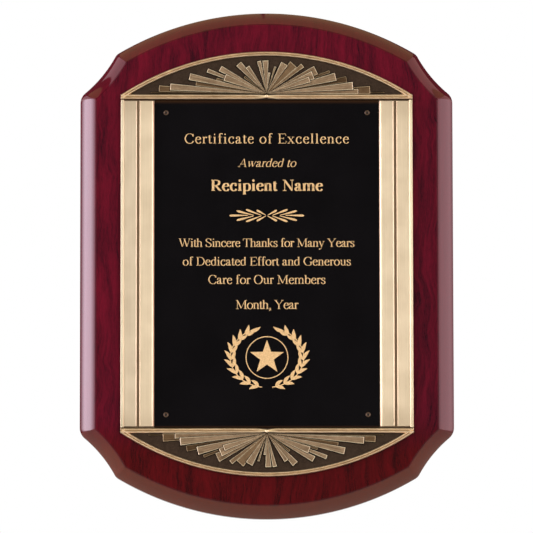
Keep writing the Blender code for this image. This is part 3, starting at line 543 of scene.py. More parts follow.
def boardTools():    # counterbores, the hanger's recess and the pocket behind its keyhole
    look, tools = boardLook, []
    for name in sorted(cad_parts):
        if name.startswith("casting_screw"):
            low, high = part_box(name)
            bpy.ops.object.select_all(action="DESELECT")
            bpy.ops.mesh.primitive_cylinder_add(
                vertices=look["boreSteps"], radius=look["bore"], depth=2 * look["boreDepth"],
                location=((low.x + high.x) / 2, 0, (low.z + high.z) / 2), rotation=(math.radians(90), 0, 0))
            tools.append(place(bpy.context.object))
    low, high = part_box("keyhole_hanger")
    middle, radius = (low.z + high.z) / 2, (high.z - low.z) / 2 + look["fit"]
    half = (high.x - low.x) / 2 + look["fit"]
    outline = []
    for side in (1, -1):
        for step in range(look["recessSteps"] + 1):
            angle = math.radians(-90 + 180 * step / look["recessSteps"])
            outline.append((side * (half - radius + radius * math.cos(angle)),
                            middle + side * radius * math.sin(angle)))
    tools.append(loft("recess", [[(x, y, z) for x, z in outline] for y in (mm, -look["recess"])]))
    side, foot, top = look["pocketHalf"], low.z + look["pocketMargin"], high.z - look["pocketMargin"]
    pocket = [(-side, foot), (side, foot), (side, top), (-side, top)]
    tools.append(loft("pocket", [[(x, y, z) for x, z in pocket] for y in (mm, -look["pocketDepth"])]))
    return tools


def buildBoard():
    look = boardLook
    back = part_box("backboard")[1].y
    arris = look["backArris"] / look["endBevel"]
    rings = [boardRing(arris, back), boardRing(0.0, back - look["backArris"])]
    rings += [boardRing(share, y) for share, y in bevelSteps()]
    board = loft("lacqueredBoard", rings)
    cutAway(board, boardTools())
    pickOnly(board)
    bpy.ops.object.shade_smooth_by_angle(angle=math.radians(18))
    dress(board, veneerFinish)
    return settle(board, "lacquered_wood", "backboard")


# ---- sunburst castings

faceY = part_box("backboard")[0].y
lunetteLow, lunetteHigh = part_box("top_sunburst_casting")
lunette = {
    "half": lunetteHigh.x - 0.3 * mm, "base": lunetteLow.z, "top": lunetteHigh.z - 0.4 * mm,
    "endHeight": 3.7 * mm, "hubRise": 0.2 * mm, "knotRise": 0.3 * mm, "fieldSteps": 48, "pinchSteps": 14,
    "rimWidth": 3.5 * mm, "barWidth": 4.0 * mm, "ridge": 3.6 * mm, "gap": 0.3 * mm, "field": 1.5 * mm,
    "arcSteps": 96, "arris": 0.16 * mm,
    "pinchWidth": 19.0 * mm, "pinchBelow": 1.15 * mm, "pinchAbove": 0.8 * mm,
}
lunette["radius"] = arcRadius(lunette["half"], lunette["top"] - lunette["base"] - lunette["endHeight"])
lunette["centre"] = lunette["top"] - lunette["radius"]
lunette["spread"] = math.asin(lunette["half"] / lunette["radius"])
hubPoint = Vector((0, faceY - lunette["gap"] - lunette["field"],
                   lunette["base"] + lunette["barWidth"] + lunette["hubRise"]))

# degrees from upright, gap to the rim, end width, height over the field
rays = (
    (-89.3, 11.3, 0.9, 0.45), (-87.1, 11.3, 4.7, 0.80), (-85.9, 16.7, 5.2, 1.62), (-81.3, 24.7, 3.4, 0.72),
    (-77.3, 11.2, 5.2, 1.58), (-73.0, 23.9, 1.9, 0.68), (-68.2, 8.7, 3.1, 1.24), (-68.4, 23.0, 5.4, 2.06),
    (-61.1, 9.1, 4.5, 1.50), (-52.0, 20.6, 1.9, 0.64), (-42.7, 6.1, 4.9, 1.46), (-35.2, 9.3, 3.3, 1.78),
    (-13.0, 4.7, 3.0, 1.42), (-2.0, 4.4, 4.5, 1.38), (7.0, 13.6, 1.5, 1.74), (17.4, 8.9, 1.5, 1.06),
    (30.5, 6.5, 5.6, 1.70), (41.9, 6.5, 6.7, 0.96), (51.5, 6.9, 3.5, 1.02), (64.1, 10.6, 7.0, 1.10),
    (67.9, 18.5, 6.3, 1.66), (71.5, 26.9, 4.5, 2.10), (70.3, 8.9, 2.2, 0.60), (76.0, 14.7, 6.1, 1.34),
    (79.4, 13.3, 4.5, 0.56), (84.7, 21.1, 5.8, 1.82), (88.5, 27.1, 3.8, 1.14), (87.8, 16.3, 6.0, 0.76),
    (89.3, 9.8, 0.9, 0.50),
)


rayShape = {
    "ledge": 0.42 * mm, "ledgeBelow": 0.28 * mm, "wall": 0.10 * mm, "arris": 0.10 * mm, "border": 0.40 * mm,
    "sunk": 0.10 * mm, "most": 0.42,
}


def raySteps(height):    # inset from the outline (a dark ledge stands out from it, a painted shadow line between the rays), height over the field
    look = rayShape
    ledge = height - look["ledgeBelow"]
    return ((-look["ledge"], -lunette["field"] / 2), (-look["ledge"], ledge), (0.0, ledge),
            (0.0, height - look["wall"]), (look["arris"], height), (look["border"], height),
            (look["border"] + 0.06 * mm, height - look["sunk"]))


rayStart = 0.5 * mm
rayReach = 0.9 * mm    # an upright ray ends this much nearer the rim than its gap, a level one farther off


def mouldingSection(width):    # twin ridges with a groove between: distance across, height over the board
    high = lunette["ridge"]
    return [
        (0.0, lunette["gap"]), (0.0, 0.62 * high), (0.10 * width, 0.88 * high), (0.22 * width, high),
        (0.32 * width, high), (0.42 * width, 0.80 * high), (0.50 * width, 0.72 * high),
        (0.58 * width, 0.80 * high), (0.68 * width, high), (0.80 * width, high),
        (0.92 * width, 0.86 * high), (width, 0.60 * high),
        (width, lunette["gap"]),
    ]


def buildRim():
    rings = []
    spread = lunette["spread"] + math.radians(1.5)
    for step in range(lunette["arcSteps"] + 1):
        angle = spread * (2 * step / lunette["arcSteps"] - 1)
        rings.append([((lunette["radius"] - across) * math.sin(angle), faceY - high,
                       lunette["centre"] + (lunette["radius"] - across) * math.cos(angle))
                      for across, high in mouldingSection(lunette["rimWidth"])])
    rim = loft("rim", rings)
    for point, normal in (((lunette["half"], 0, 0), (1, 0, 0)), ((-lunette["half"], 0, 0), (-1, 0, 0)),
                          ((0, 0, lunette["base"]), (0, 0, -1))):
        editMode(rim)
        bpy.ops.mesh.select_all(action="SELECT")
        bpy.ops.mesh.bisect(plane_co=point, plane_no=normal, use_fill=True, clear_outer=True)
        objectMode()
    return rim


def buildBar():    # pinched from both sides at its middle, where its lines run into the knot
    half, reach = lunette["half"], lunette["pinchWidth"] / 2
    steps = lunette["pinchSteps"]
    stations = [-half, -0.6 * half, -0.25 * half]
    stations += [reach * step / steps for step in range(-steps, steps + 1)]
    stations += [0.25 * half, 0.6 * half, half]
    rings = []
    for x in stations:
        pinch = (1 - min(abs(x) / reach, 1)) ** 1.7
        below, above = pinch * lunette["pinchBelow"], pinch * lunette["pinchAbove"]
        rings.append([(x, faceY - high, lunette["base"] + below + across)
                      for across, high in mouldingSection(lunette["barWidth"] - below - above)])
    return loft("bar", rings)


def rayLength(angle, gap):
    inner = lunette["radius"] - lunette["rimWidth"]
    rise = hubPoint.z - lunette["centre"]
    toRim = math.sqrt(inner ** 2 - (rise * math.sin(angle)) ** 2) - rise * math.cos(angle)
    return toRim - gap + rayReach * (3 * math.cos(angle) - 2)


def buildRay(degrees, gap, width, height):
    angle = math.radians(degrees)
    length = rayLength(angle, gap)
    narrow = width * rayStart / length
    rings = []
    for inset, rise in raySteps(height):
        wide = width / 2 - min(inset, rayShape["most"] * width / 2)
        slim = narrow / 2 - min(inset, rayShape["most"] * narrow / 2) * narrow / width
        rings.append([(-slim, -rise, rayStart), (slim, -rise, rayStart), (wide, -rise, length - inset),
                      (-wide, -rise, length - inset)])
    ray = loft("ray", rings)
    dress(ray, edgeFinish, panelFinish, gapShadowFinish)
    floor = height - rayShape["sunk"]
    # the third slot is painted shadow on the ledge and the walls
    for slot, wanted in ((1, lambda rise, flat: flat and abs(rise - floor) < 0.01 * mm),
                         (2, lambda rise, flat: rise < height - 0.6 * rayShape["wall"])):
        selectFaces(ray, lambda face: wanted(-face.calc_center_median().y, abs(face.normal.y) > 0.9)
                    and (slot == 1 or abs(-face.calc_center_median().y - floor) > 0.01 * mm))
        ray.active_material_index = slot
        bpy.ops.object.material_slot_assign()
        objectMode()
    brush = ray.data.uv_layers.active or ray.data.uv_layers.new()
    brush.name = "brush"
    for loop in ray.data.loops:
        point = ray.data.vertices[loop.vertex_index].co
        brush.data[loop.index].uv = (point.z + 0.01 * degrees, point.x)
    ray.data.transform(Matrix.Translation(hubPoint) @ Matrix.Rotation(angle, 4, "Y"))
    return ray


def buildField():
    points = []
    radius = lunette["radius"] - lunette["rimWidth"] / 2
    spread, steps = lunette["spread"], lunette["fieldSteps"]
    half, back = lunette["half"] - mm, faceY - lunette["gap"]
    base = lunette["base"] + 0.1 * mm
    for step in range(steps + 1):
        angle = spread - 2 * spread * step / steps
        points.append((radius * math.sin(angle), back, lunette["centre"] + radius * math.cos(angle)))
    points += [(-half, back, base), (half, back, base)]
    field = flatFace("field", points)
    selectFaces(field, lambda face: True)
    bpy.ops.mesh.extrude_region_move(TRANSFORM_OT_translate={"value": (0, -lunette["field"], 0)})
    objectMode()
    return closeUp(field)


def buildKnot():    # a flattened bead where the bar is narrowest
    bpy.ops.object.select_all(action="DESELECT")
    narrowest = lunette["barWidth"] + lunette["pinchBelow"] - lunette["pinchAbove"]
    middle = lunette["base"] + lunette["knotRise"] + narrowest / 2
    bpy.ops.mesh.primitive_uv_sphere_add(segments=40, ring_count=24, radius=1,
                                         location=(0, faceY - 0.80 * lunette["ridge"], middle),
                                         scale=(1.7 * mm, 1.0 * mm, 1.2 * mm))
    knot = place(bpy.context.object)
    bpy.ops.object.shade_smooth()
    return knot


def buildLunettes():
    parts = [soften(piece, lunette["arris"], 2) for piece in (buildRim(), buildBar())]
    for piece in parts:
        dress(piece, ridgeFinish)
    parts.append(dress(buildField(), fieldFinish))
    parts.append(dress(buildKnot(), edgeFinish))
    for degrees, gap, width, height in rays:
        parts.append(buildRay(degrees, gap * mm, width * mm, height * mm))
    top = joined("topSunburst", parts)
    bottom = ownCopy(top, "bottomSunburst")
    bottom.data.transform(Matrix.Rotation(math.pi, 4, "Y"))
    settle(top, "antique_bronze", "top_sunburst_casting")
    settle(bottom, "antique_bronze", "bottom_sunburst_casting")


# ---- columns

column = {
    "bead": 2.8 * mm, "beadHeight": 3.5 * mm, "band": 3.1 * mm, "flute": 2.2 * mm, "fluteDepth": 1.5 * mm,
    "lip": 1.5 * mm, "lipHeight": 2.2 * mm, "relief": 0.9 * mm, "arris": 0.22 * mm,
}


# bead, band, flute, band, lip: distance from the outer edge, height over the board
def columnSection(width):
    flute = column["bead"] + (width - column["bead"] - column["lip"]) / 2
    side, bead, band = column["flute"] / 2, column["beadHeight"], column["band"]
    lip, step = width - column["lip"], column["bead"]
    return [
        (0.3 * mm, lunette["gap"]), (0.3 * mm, 0.90 * bead), (0.20 * step, 0.985 * bead), (0.30 * step, bead),
        (0.44 * step, bead), (0.52 * step, 0.95 * bead), (0.60 * step, bead), (0.72 * step, bead),
        (0.88 * step, 0.97 * bead), (step, band - 0.10 * mm), (step + 0.4 * mm, band - 0.10 * mm),
        (flute - side - 0.5 * mm, band - 0.10 * mm), (flute - side - 0.4 * mm, band + 0.05 * mm),
        (flute - side, band), (flute - 0.30 * side, band - column["fluteDepth"]),
        (flute + 0.30 * side, band - column["fluteDepth"]), (flute + side, band),
        (flute + side + 0.4 * mm, band + 0.05 * mm), (flute + side + 0.5 * mm, band - 0.10 * mm),
        (lip - 0.3 * mm, band - 0.10 * mm), (lip, band + 0.05 * mm), (lip + 0.5 * mm, band - 0.10 * mm),
        (width - 0.3 * mm, column["lipHeight"]), (width - 0.3 * mm, lunette["gap"]),
    ]


def buildColumns():
    pair = (("leftColumn", "left_column_casting", -1), ("rightColumn", "right_column_casting", 1))
    for name, node, side in pair:
        low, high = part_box(node)
        outer = low.x if side < 0 else high.x
        section = columnSection(high.x - low.x)
        split = [entry[0] for entry in section].index(column["bead"])
        strip = section[:split + 1] + [(column["bead"], lunette["gap"])]
        body = [(column["bead"], lunette["gap"])] + section[split:]
        # a low strip along the whole length, a dark sheet of painted shadow in the gaps where the body stops
        # short of the bars
        tongue = [(column["bead"], lunette["gap"]), (column["bead"], 1.0 * mm), (high.x - low.x, 1.0 * mm),
                  (high.x - low.x, lunette["gap"])]
        parts = []
        for outline, relief in ((strip, 0.0), (body, column["relief"]), (tongue, 0.0)):
            rings = [[(outer - side * across, faceY - rise, z) for across, rise in outline]
                     for z in (low.z + relief, high.z - relief)]
            parts.append(soften(loft("part", rings), column["arris"], 2))
        piece = dress(joined(name, parts), columnFinish)
        settle(piece, "antique_bronze", node)


# ---- lettering: a broad pen drawn along each stroke; capitals are 100 units high

# half widths of stems and of hairlines
pens = {"plain": (6.6, 2.3), "italic": (6.0, 2.2), "bold": (10.8, 3.0)}
lettersLook = {
    "slant": 0.27, "samples": 6, "thick": 0.05 * mm, "proud": 0.03 * mm,
    "strokeLayer": 0.0006, "leafLayer": 0.0006 * mm,    # steps between crossing strips, in units and in metres
    "dot": 1.05, "dotSteps": 10,
}

# l a straight stroke, c a curve, o a closed curve, h a hairline, d a dot; then its points
strokes = {
    "A": (109, "h 14 2 53 100", "l 53 100 94 2", "h 28 34 78 34", "h 2 2 30 2", "h 78 2 108 2"),
    "C": (101, "c 92 72 84 90 58 100 28 89 10 50 28 11 58 0 80 6 94 24", "h 93 98 93 70"),
    "D": (109, "l 23 100 23 0", "c 23 98 50 98 82 86 98 50 82 14 50 2 23 2", "h 6 98 40 98", "h 6 2 40 2"),
    "E": (92, "l 23 100 23 0", "h 6 98 83 98", "h 83 98 85 78", "h 23 52 62 52", "h 63 62 63 41",
          "h 6 2 84 2", "h 84 2 90 26"),
    "G": (109, "c 94 72 86 91 58 100 28 89 10 50 28 11 58 0 80 4 92 10", "l 92 42 92 8", "h 76 42 106 42",
          "h 94 98 94 70"),
    "M": (134, "h 22 2 22 98", "l 22 98 66 8", "h 66 8 108 98", "l 112 100 112 0", "h 6 2 38 2",
          "h 96 2 129 2", "h 4 98 26 98", "h 106 98 129 98"),
    "N": (109, "h 22 2 22 98", "l 20 98 90 4", "h 90 2 90 98", "h 6 2 38 2", "h 4 98 24 98",
          "h 74 98 106 98"),
    "O": (109, "o 54 100 84 88 99 50 84 12 54 0 24 12 10 50 24 88"),
    "R": (101, "l 23 100 23 0", "c 23 98 54 97 74 88 78 75 72 58 52 50 23 50", "l 46 50 84 4",
          "h 6 98 30 98", "h 6 2 40 2", "h 76 2 100 2"),
    "S": (84, "c 70 74 66 90 44 100 20 93 13 76 26 60 52 46 70 28 66 8 42 0 18 7 11 28", "h 71 98 71 74",
          "h 11 2 10 28"),
    "T": (92, "l 46 100 46 0", "h 6 98 86 98", "h 6 98 4 74", "h 86 98 88 74", "h 30 2 62 2"),
    "W": (142, "l 14 98 44 2", "h 44 2 72 88", "l 66 98 98 2", "h 98 2 128 98", "h 0 98 30 98",
          "h 52 98 84 98", "h 116 98 142 98"),
    "Y": (109, "l 16 98 54 44", "h 96 98 56 46", "l 54 46 54 0", "h 2 98 34 98", "h 80 98 108 98",
          "h 38 2 70 2"),
    "a": (67, "c 12 52 16 63 28 68 39 64 43 52 43 34", "l 43 44 43 12", "c 43 14 47 4 53 3 62 10",
          "c 43 42 26 34 12 25 9 14 15 4 25 2 35 6 43 14", "d 14 52"),
    "b": (76, "l 17 101 17 4", "c 17 52 28 64 42 67 60 58 66 34 60 10 42 1 28 3 17 9", "h 4 96 17 101"),
    "c": (67, "c 57 54 50 66 36 68 19 59 10 34 19 9 36 0 50 4 60 16", "d 54 53"),
    "d": (76, "l 57 101 57 6", "c 57 54 46 66 34 68 18 59 10 34 17 9 32 1 46 5 57 15", "h 44 96 57 101",
          "h 57 3 70 6"),
    "e": (67, "h 13 41 57 41", "c 57 41 53 60 36 68 19 59 10 34 19 9 36 0 50 4 60 16"),
    "f": (50, "c 50 95 44 101 34 102 26 96 23 82 23 62", "l 23 70 23 0", "h 7 67 44 67", "h 8 2 40 2"),
    "h": (76, "l 16 101 16 0", "c 16 50 28 64 41 67 54 60 57 44 57 24", "l 57 36 57 0", "h 3 96 16 101",
          "h 2 2 31 2", "h 43 2 72 2"),
    "i": (42, "l 21 67 21 0", "h 6 62 21 67", "h 5 2 37 2", "d 20 93"),
    "k": (76, "l 17 101 17 0", "h 17 26 56 65", "l 32 42 60 4", "h 4 96 17 101", "h 2 2 32 2",
          "h 50 2 76 2", "h 42 66 70 66"),
    "l": (42, "l 21 101 21 0", "h 7 96 21 101", "h 5 2 37 2"),
    "m": (117, "l 17 67 17 0", "c 17 50 28 64 41 67 54 60 58 44 58 24", "l 58 36 58 0",
          "c 58 50 70 64 82 67 95 60 99 44 99 24", "l 99 36 99 0", "h 3 62 17 67", "h 2 2 32 2",
          "h 44 2 72 2", "h 85 2 114 2"),
    "n": (76, "l 17 67 17 0", "c 17 50 28 64 41 67 54 60 57 44 57 24", "l 57 36 57 0", "h 3 62 17 67",
          "h 2 2 32 2", "h 43 2 72 2"),
    "o": (76, "o 38 68 58 58 67 34 58 10 38 0 18 10 9 34 18 58"),
    "p": (76, "l 17 67 17 -32", "c 17 54 28 64 42 67 60 58 66 34 60 10 42 1 28 3 17 10", "h 3 62 17 67",
          "h 2 -31 33 -31"),
    "r": (50, "l 17 67 17 0", "c 17 46 26 60 37 67 46 64", "h 3 62 17 67", "h 2 2 33 2", "d 44 61"),
    "s": (59, "c 47 54 43 65 29 68 15 63 12 53 20 43 38 33 48 20 44 6 29 0 15 3 10 18", "h 48 67 48 50",
          "h 9 20 9 1"),
    "t": (42, "l 18 84 18 16", "c 18 22 20 6 28 2 40 9", "h 3 66 38 66"),
    "u": (76, "c 17 42 18 16 26 4 38 2 50 7 57 16", "l 17 67 17 30", "l 57 67 57 4", "h 3 65 17 67",
          "h 43 65 57 67", "h 57 3 72 3"),
    "w": (109, "l 12 66 34 2", "h 34 2 54 58", "l 50 66 74 2", "h 74 2 96 66", "h 2 66 26 66",
          "h 38 66 64 66", "h 86 66 108 66"),
    "x": (76, "l 14 66 60 3", "h 60 66 14 3", "h 3 66 29 66", "h 48 66 72 66", "h 2 2 27 2", "h 46 2 74 2"),
    "y": (76, "l 14 66 40 3", "c 62 66 50 34 36 -8 26 -27 12 -28", "h 3 66 29 66", "h 50 66 74 66",
          "d 13 -27"),
    ",": (38, "d 17 6", "c 20 6 21 -8 10 -19"),
}
thinCurves = {"y": (1,)}    # strokes drawn with the hairline though they are curves


def smoothPath(points, closed, samples):    # a curve through every point
    count = len(points)
    path = []
    for index in range(count if closed else count - 1):
        places = [index + step for step in (-1, 0, 1, 2)]
        places = [spot % count if closed else min(max(spot, 0), count - 1) for spot in places]
        before, start, end, after = (points[spot] for spot in places)
        for sample in range(samples):
            t = sample / samples
            square = 2 * before - 5 * start + 4 * end - after
            cube = 3 * start - before - 3 * end + after
            path.append(0.5 * (2 * start + (end - before) * t + square * t ** 2 + cube * t ** 3))
    return path if closed else path + [points[-1]]


def ribbon(path, halfWidths, closed, name):    # a strip along a path: a grid with both of its rows moved out
    if closed:
        path, halfWidths = path + path[:1], halfWidths + halfWidths[:1]
    count = len(path)
    bpy.ops.object.select_all(action="DESELECT")
    bpy.ops.mesh.primitive_grid_add(x_subdivisions=count - 1, y_subdivisions=1, size=1)
    strip = bpy.context.object
    strip.name = name
    for index, (point, half) in enumerate(zip(path, halfWidths)):
        if closed:
            ahead, behind = path[(index + 1) % (count - 1)], path[(index - 1) % (count - 1)]
        else:
            ahead, behind = path[min(index + 1, count - 1)], path[max(index - 1, 0)]
        along = (ahead - behind).normalized()
        across = Vector((-along.y, along.x)) * half(along)
        for row, side in ((0, -1), (1, 1)):
            corner = point + side * across
            strip.data.vertices[row * count + index].co = (corner.x, 0, corner.y)
    return strip


def penWidth(thick, thin):
    return lambda along: math.sqrt((thick * along.y) ** 2 + (thin * along.x) ** 2)


def ringPoints(centre, radius, steps):
    turns = (math.tau * step / steps for step in range(steps))
    return [centre + Vector((math.cos(turn), math.sin(turn))) * radius for turn in turns]


def drawGlyph(letter, style):
    thick, thin = pens[style]
    parts = []
    for index, stroke in enumerate(strokes[letter][1:]):
        kind, *numbers = stroke.split()
        values = [float(number) for number in numbers]
        points = [Vector(pair) for pair in zip(values[::2], values[1::2])]
        pen = penWidth(thick, thin)
        if kind == "h" or index in thinCurves.get(letter, ()):
            pen = penWidth(thin, thin)
        if kind == "d":
            radius = lettersLook["dot"] * thick
            path, closed = ringPoints(points[0], radius / 2, lettersLook["dotSteps"]), True
            pen = penWidth(radius / 2, radius / 2)
        elif kind in "co":
            path, closed = smoothPath(points, kind == "o", lettersLook["samples"]), kind == "o"
        else:
            path, closed = points, False
        part = ribbon(path, [pen] * len(path), closed, "stroke")
        part.data.transform(Matrix.Translation((0, -index * lettersLook["strokeLayer"], 0)))
        parts.append(part)
    glyph = joined("glyph", parts)
    if style == "italic":
        slant = Matrix.Identity(4)
        slant[0][2] = lettersLook["slant"]
        glyph.data.transform(slant)
    return glyph


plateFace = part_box("engraved_plate")[0].y
textLines = (    # words, style, baseline, capital height, width of the line
    ("Certificate of Excellence", "plain", 90.3, 7.35, 123.5),
    ("Awarded to", "italic", 72.6, 6.1, 43.5),
    ("Recipient Name", "bold", 54.6, 8.2, 84.0),
    ("With Sincere Thanks for Many Years", "plain", 12.4, 6.2, 131.5),
    ("of Dedicated Effort and Generous", "plain", -1.6, 6.3, 126.0),
    ("Care for Our Members", "plain", -15.4, 6.5, 88.0),
    ("Month, Year", "plain", -34.2, 6.6, 40.0),
)
wordSpace = 38
leastTracking, mostTracking = -6.0, 9.0


def writeLine(words, style, baseline, capital, width, drawn):
    scale = capital * mm / 100
    advances = [strokes[letter][0] if letter in strokes else wordSpace for letter in words]
    tracking = (width * mm / scale - sum(advances)) / (len(words) - 1)
    tracking = max(leastTracking, min(mostTracking, tracking))
    left = -(sum(advances) + tracking * (len(words) - 1)) / 2
    letters = []
    for letter, advance in zip(words, advances):
        if letter in strokes:
            if (letter, style) not in drawn:
                drawn[letter, style] = drawGlyph(letter, style)
            copy = ownCopy(drawn[letter, style], "letter")
            copy.data.transform(Matrix.Translation((0, 0, baseline * mm)) @ Matrix.Scale(scale, 4)
                                @ Matrix.Translation((left, 0, 0)))
            letters.append(copy)
        left += advance + tracking
    return letters


def engraved(name, parts):    # gives flat gold work its depth and sets it in the plate
    piece = joined(name, parts)
    look = lettersLook
    closeUp(piece)
    for vert in piece.data.vertices:
        vert.co.y += plateFace - look["proud"]
    faceFront(piece)
    applied(piece, "SOLIDIFY", thickness=look["thick"], offset=-1)
    dress(piece, goldFinish)
    return settle(piece, "black_brass")


def faceFront(piece):
    bm = bmesh.new()
    bm.from_mesh(piece.data)
    bmesh.ops.reverse_faces(bm, faces=[face for face in bm.faces if face.normal.y > 0])
    bm.to_mesh(piece.data)
    bm.free()


def buildLettering():
    drawn = {}
    for index, line in enumerate(textLines):
        engraved("textLine%d" % (index + 1), writeLine(*line, drawn))
    for glyph in drawn.values():
        bpy.data.objects.remove(glyph)


ornament = {
    "height": 35.9 * mm, "half": 1.05 * mm, "rootLift": 0.25 * mm, "steps": 14,
    "leaves": ((0.6, 7.6, 4.1), (4.2, 15.6, 4.6), (9.8, 22.6, 3.6)),    # root, tip, lift of the tip, in mm
    "last": (14.0, 28.0, 0.0),
}
wreath = {
    "centre": -70.6 * mm, "radius": 22.4 * mm, "start": -82, "end": 62, "pairs": 10, "leaf": 8.8 * mm,
    "leafWidth": 1.30 * mm, "stem": 0.36 * mm, "lean": 27, "stretch": 1.22, "ring": 15.6 * mm,
    "ringWidth": 0.34 * mm, "star": 13.2 * mm, "starInner": 5.3 * mm,
    "leafSteps": 10, "bend": 0.10, "stemSteps": 30, "ringSteps": 72,
    "firstLeaf": 0.35, "taper": 0.35, "fullest": 0.45, "endLean": 96, "endLayer": 22,
}


def leafAt(root, degrees, length, half, layer):    # an almond with a bent midrib
    turn = math.radians(degrees)
    along, across = Vector((math.cos(turn), math.sin(turn))), Vector((-math.sin(turn), math.cos(turn)))
    path, widths = [], []
    for step in range(wreath["leafSteps"] + 1):
        t = step / wreath["leafSteps"]
        path.append(root + along * length * t + across * wreath["bend"] * length * math.sin(math.pi * t))
        wide = half * max(math.sin(math.pi * t) ** 0.8 * (1.25 - 0.5 * t), 0.02)
        widths.append(lambda way, wide=wide: wide)
    leaf = ribbon(path, widths, False, "leaf")
    leaf.data.transform(Matrix.Translation((0, -layer * lettersLook["leafLayer"], 0)))
    return leaf


def mirrored(parts):
    copies = []
    for part in parts:
        copy = ownCopy(part, part.name)
        copy.data.transform(Matrix.Scale(-1, 4, (1, 0, 0)))
        copies.append(copy)
    return parts + copies


def dropAt(root, tip, half, layer):    # a leaf that widens to a round end
    path, widths = [], []
    for step in range(ornament["steps"] + 1):
        t = 1 - (1 - step / ornament["steps"]) ** 1.6
        path.append(root + (tip - root) * t)
        wide = half * (0.20 + 0.80 * t ** 1.3) * math.sqrt(max(1 - t ** 8, 0.0004))
        widths.append(lambda way, wide=wide: wide)
    drop = ribbon(path, widths, False, "drop")
    drop.data.transform(Matrix.Translation((0, -layer * lettersLook["leafLayer"], 0)))
    return drop


def buildOrnament():    # two sprays that meet at the middle
    look, parts = ornament, []
    for index, (start, end, lift) in enumerate(look["leaves"] + (look["last"],)):
        for side in (1, -1) if lift else (1,):
            root = Vector((start * mm, look["height"] + side * look["rootLift"]))
            tip = Vector((end * mm, look["height"] + side * lift * mm))
            parts.append(dropAt(root, tip, look["half"], 1 + 2 * index + (side > 0)))
    engraved("laurelOrnament", mirrored(parts))


def buildEmblem():    # a star in a ring inside a wreath
    look = wreath
    middle = Vector((0, look["centre"]))
    spread = math.radians(look["end"] - look["start"])
    first = math.radians(look["start"])

    def onArc(share, radius):
        angle = first + spread * share
        return middle + Vector((math.cos(angle) * look["stretch"], math.sin(angle))) * radius

    steps = look["stemSteps"]
    stem = [onArc(step / steps, look["radius"]) for step in range(steps + 1)]
    parts = [ribbon(stem, [penWidth(look["stem"], look["stem"])] * len(stem), False, "stem")]
    for index in range(look["pairs"]):
        share = (index + look["firstLeaf"]) / look["pairs"]
        heading = look["start"] + (look["end"] - look["start"]) * share + 90
        size = look["leaf"] * (1 - look["taper"] * abs(share - look["fullest"]))
        for side in (1, -1):
            parts.append(leafAt(onArc(share, look["radius"]), heading + side * look["lean"], size,
                                look["leafWidth"], 1 + 2 * index + (side > 0)))
    parts.append(leafAt(onArc(1.0, look["radius"]), look["end"] + look["endLean"], look["leaf"],
                        look["leafWidth"], look["endLayer"]))
    parts = mirrored(parts)
    circle = ringPoints(middle, look["ring"], look["ringSteps"])
    parts.append(ribbon(circle, [penWidth(look["ringWidth"], look["ringWidth"])] * len(circle), True, "ring"))
    tips = []
    for step in range(10):
        angle = math.radians(90 + 36 * step)
        reach = look["starInner"] if step % 2 else look["star"]
        tips.append((reach * math.cos(angle), 0, look["centre"] + reach * math.sin(angle)))
    parts.append(flatFace("star", tips))
    engraved("wreathEmblem", parts)


# ---- plate, pins and the fasteners behind

pinLook = {"steps": 40, "profile": (    # radius, height over the plate
    (0.0, 0.26), (0.45, 0.26), (0.72, 0.36), (0.95, 0.62), (1.20, 0.76), (1.50, 0.76), (1.80, 0.58),
    (2.00, 0.28), (2.05, 0.02), (0.75, 0.0), (0.75, -2.0), (0.0, -2.0))}
# the screws' heads: radius, height from the top of the head, in mm
panHead = ((0.0, 0.0), (1.0, -0.05), (1.8, -0.24), (2.4, -0.58), (2.8, -1.05), (3.0, -1.60), (3.0, -2.05),
           (2.88, -2.20), (1.4, -2.20))
sunkHead = ((0.0, 0.0), (2.60, 0.0), (2.70, -0.08), (1.3, -1.28))
drive = {"length": 1.65, "width": 0.42, "depth": 1.1, "taper": 0.7, "over": 0.3}    # half lengths, in mm
# where the point starts and how blunt it is, as shares; turn is in degrees from one screw to the next
shank = {"taperFrom": 0.86, "tip": 0.3, "steps": 40, "turn": 37}


def turnedPiece(name, profile, steps):    # a profile in mm turned about an axis along depth
    bpy.ops.object.select_all(action="DESELECT")
    bpy.ops.mesh.primitive_circle_add(vertices=len(profile), radius=1, fill_type="NOTHING")
    piece = bpy.context.object
    piece.name = name
    for vert, (radius, height) in zip(piece.data.vertices, profile):
        vert.co = (radius * mm, height * mm, 0)
    editMode(piece, "EDGE")
    bpy.ops.mesh.select_all(action="SELECT")
    bpy.ops.mesh.spin(steps=steps, angle=math.tau, center=(0, 0, 0), axis=(0, 1, 0), dupli=False)
    bpy.ops.mesh.select_all(action="SELECT")
    bpy.ops.mesh.remove_doubles(threshold=0.000003)
    bpy.ops.mesh.delete_loose(use_verts=True, use_edges=True, use_faces=False)
    objectMode()
    return closeUp(piece)


def crossCutter():    # a tapering cross, for the recess of a screw's head
    long, short = drive["length"] * mm, drive["width"] * mm
    corners = [(short, long), (short, short), (long, short)]
    outline = []
    for turn in range(4):
        for x, z in corners:
            for _ in range(turn):
                x, z = z, -x
            outline.append((x, z))
    rings = []
    for y, size in ((drive["over"] * mm, 1.0), (-drive["depth"] * mm, drive["taper"])):
        rings.append([(x * size, y, z * size) for x, z in outline])
    return loft("cross", rings)


def buildPins():    # one pin, copied to the four corners
    profile = [(radius, -height) for radius, height in pinLook["profile"]]
    pattern = turnedPiece("pinPattern", profile, pinLook["steps"])
    pickOnly(pattern)
    bpy.ops.object.shade_smooth_by_angle(angle=math.radians(40))
    dress(pattern, pinFinish)
    for node in sorted(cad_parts):
        if node.startswith("plate_pin"):
            low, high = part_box(node)
            pin = ownCopy(pattern, "pin" + node[len("plate_pin"):].title().replace("_", ""))
            pin.data.transform(Matrix.Translation(((low.x + high.x) / 2, plateFace, (low.z + high.z) / 2)))
            settle(pin, "pin_bronze", node)
    bpy.data.objects.remove(pattern)


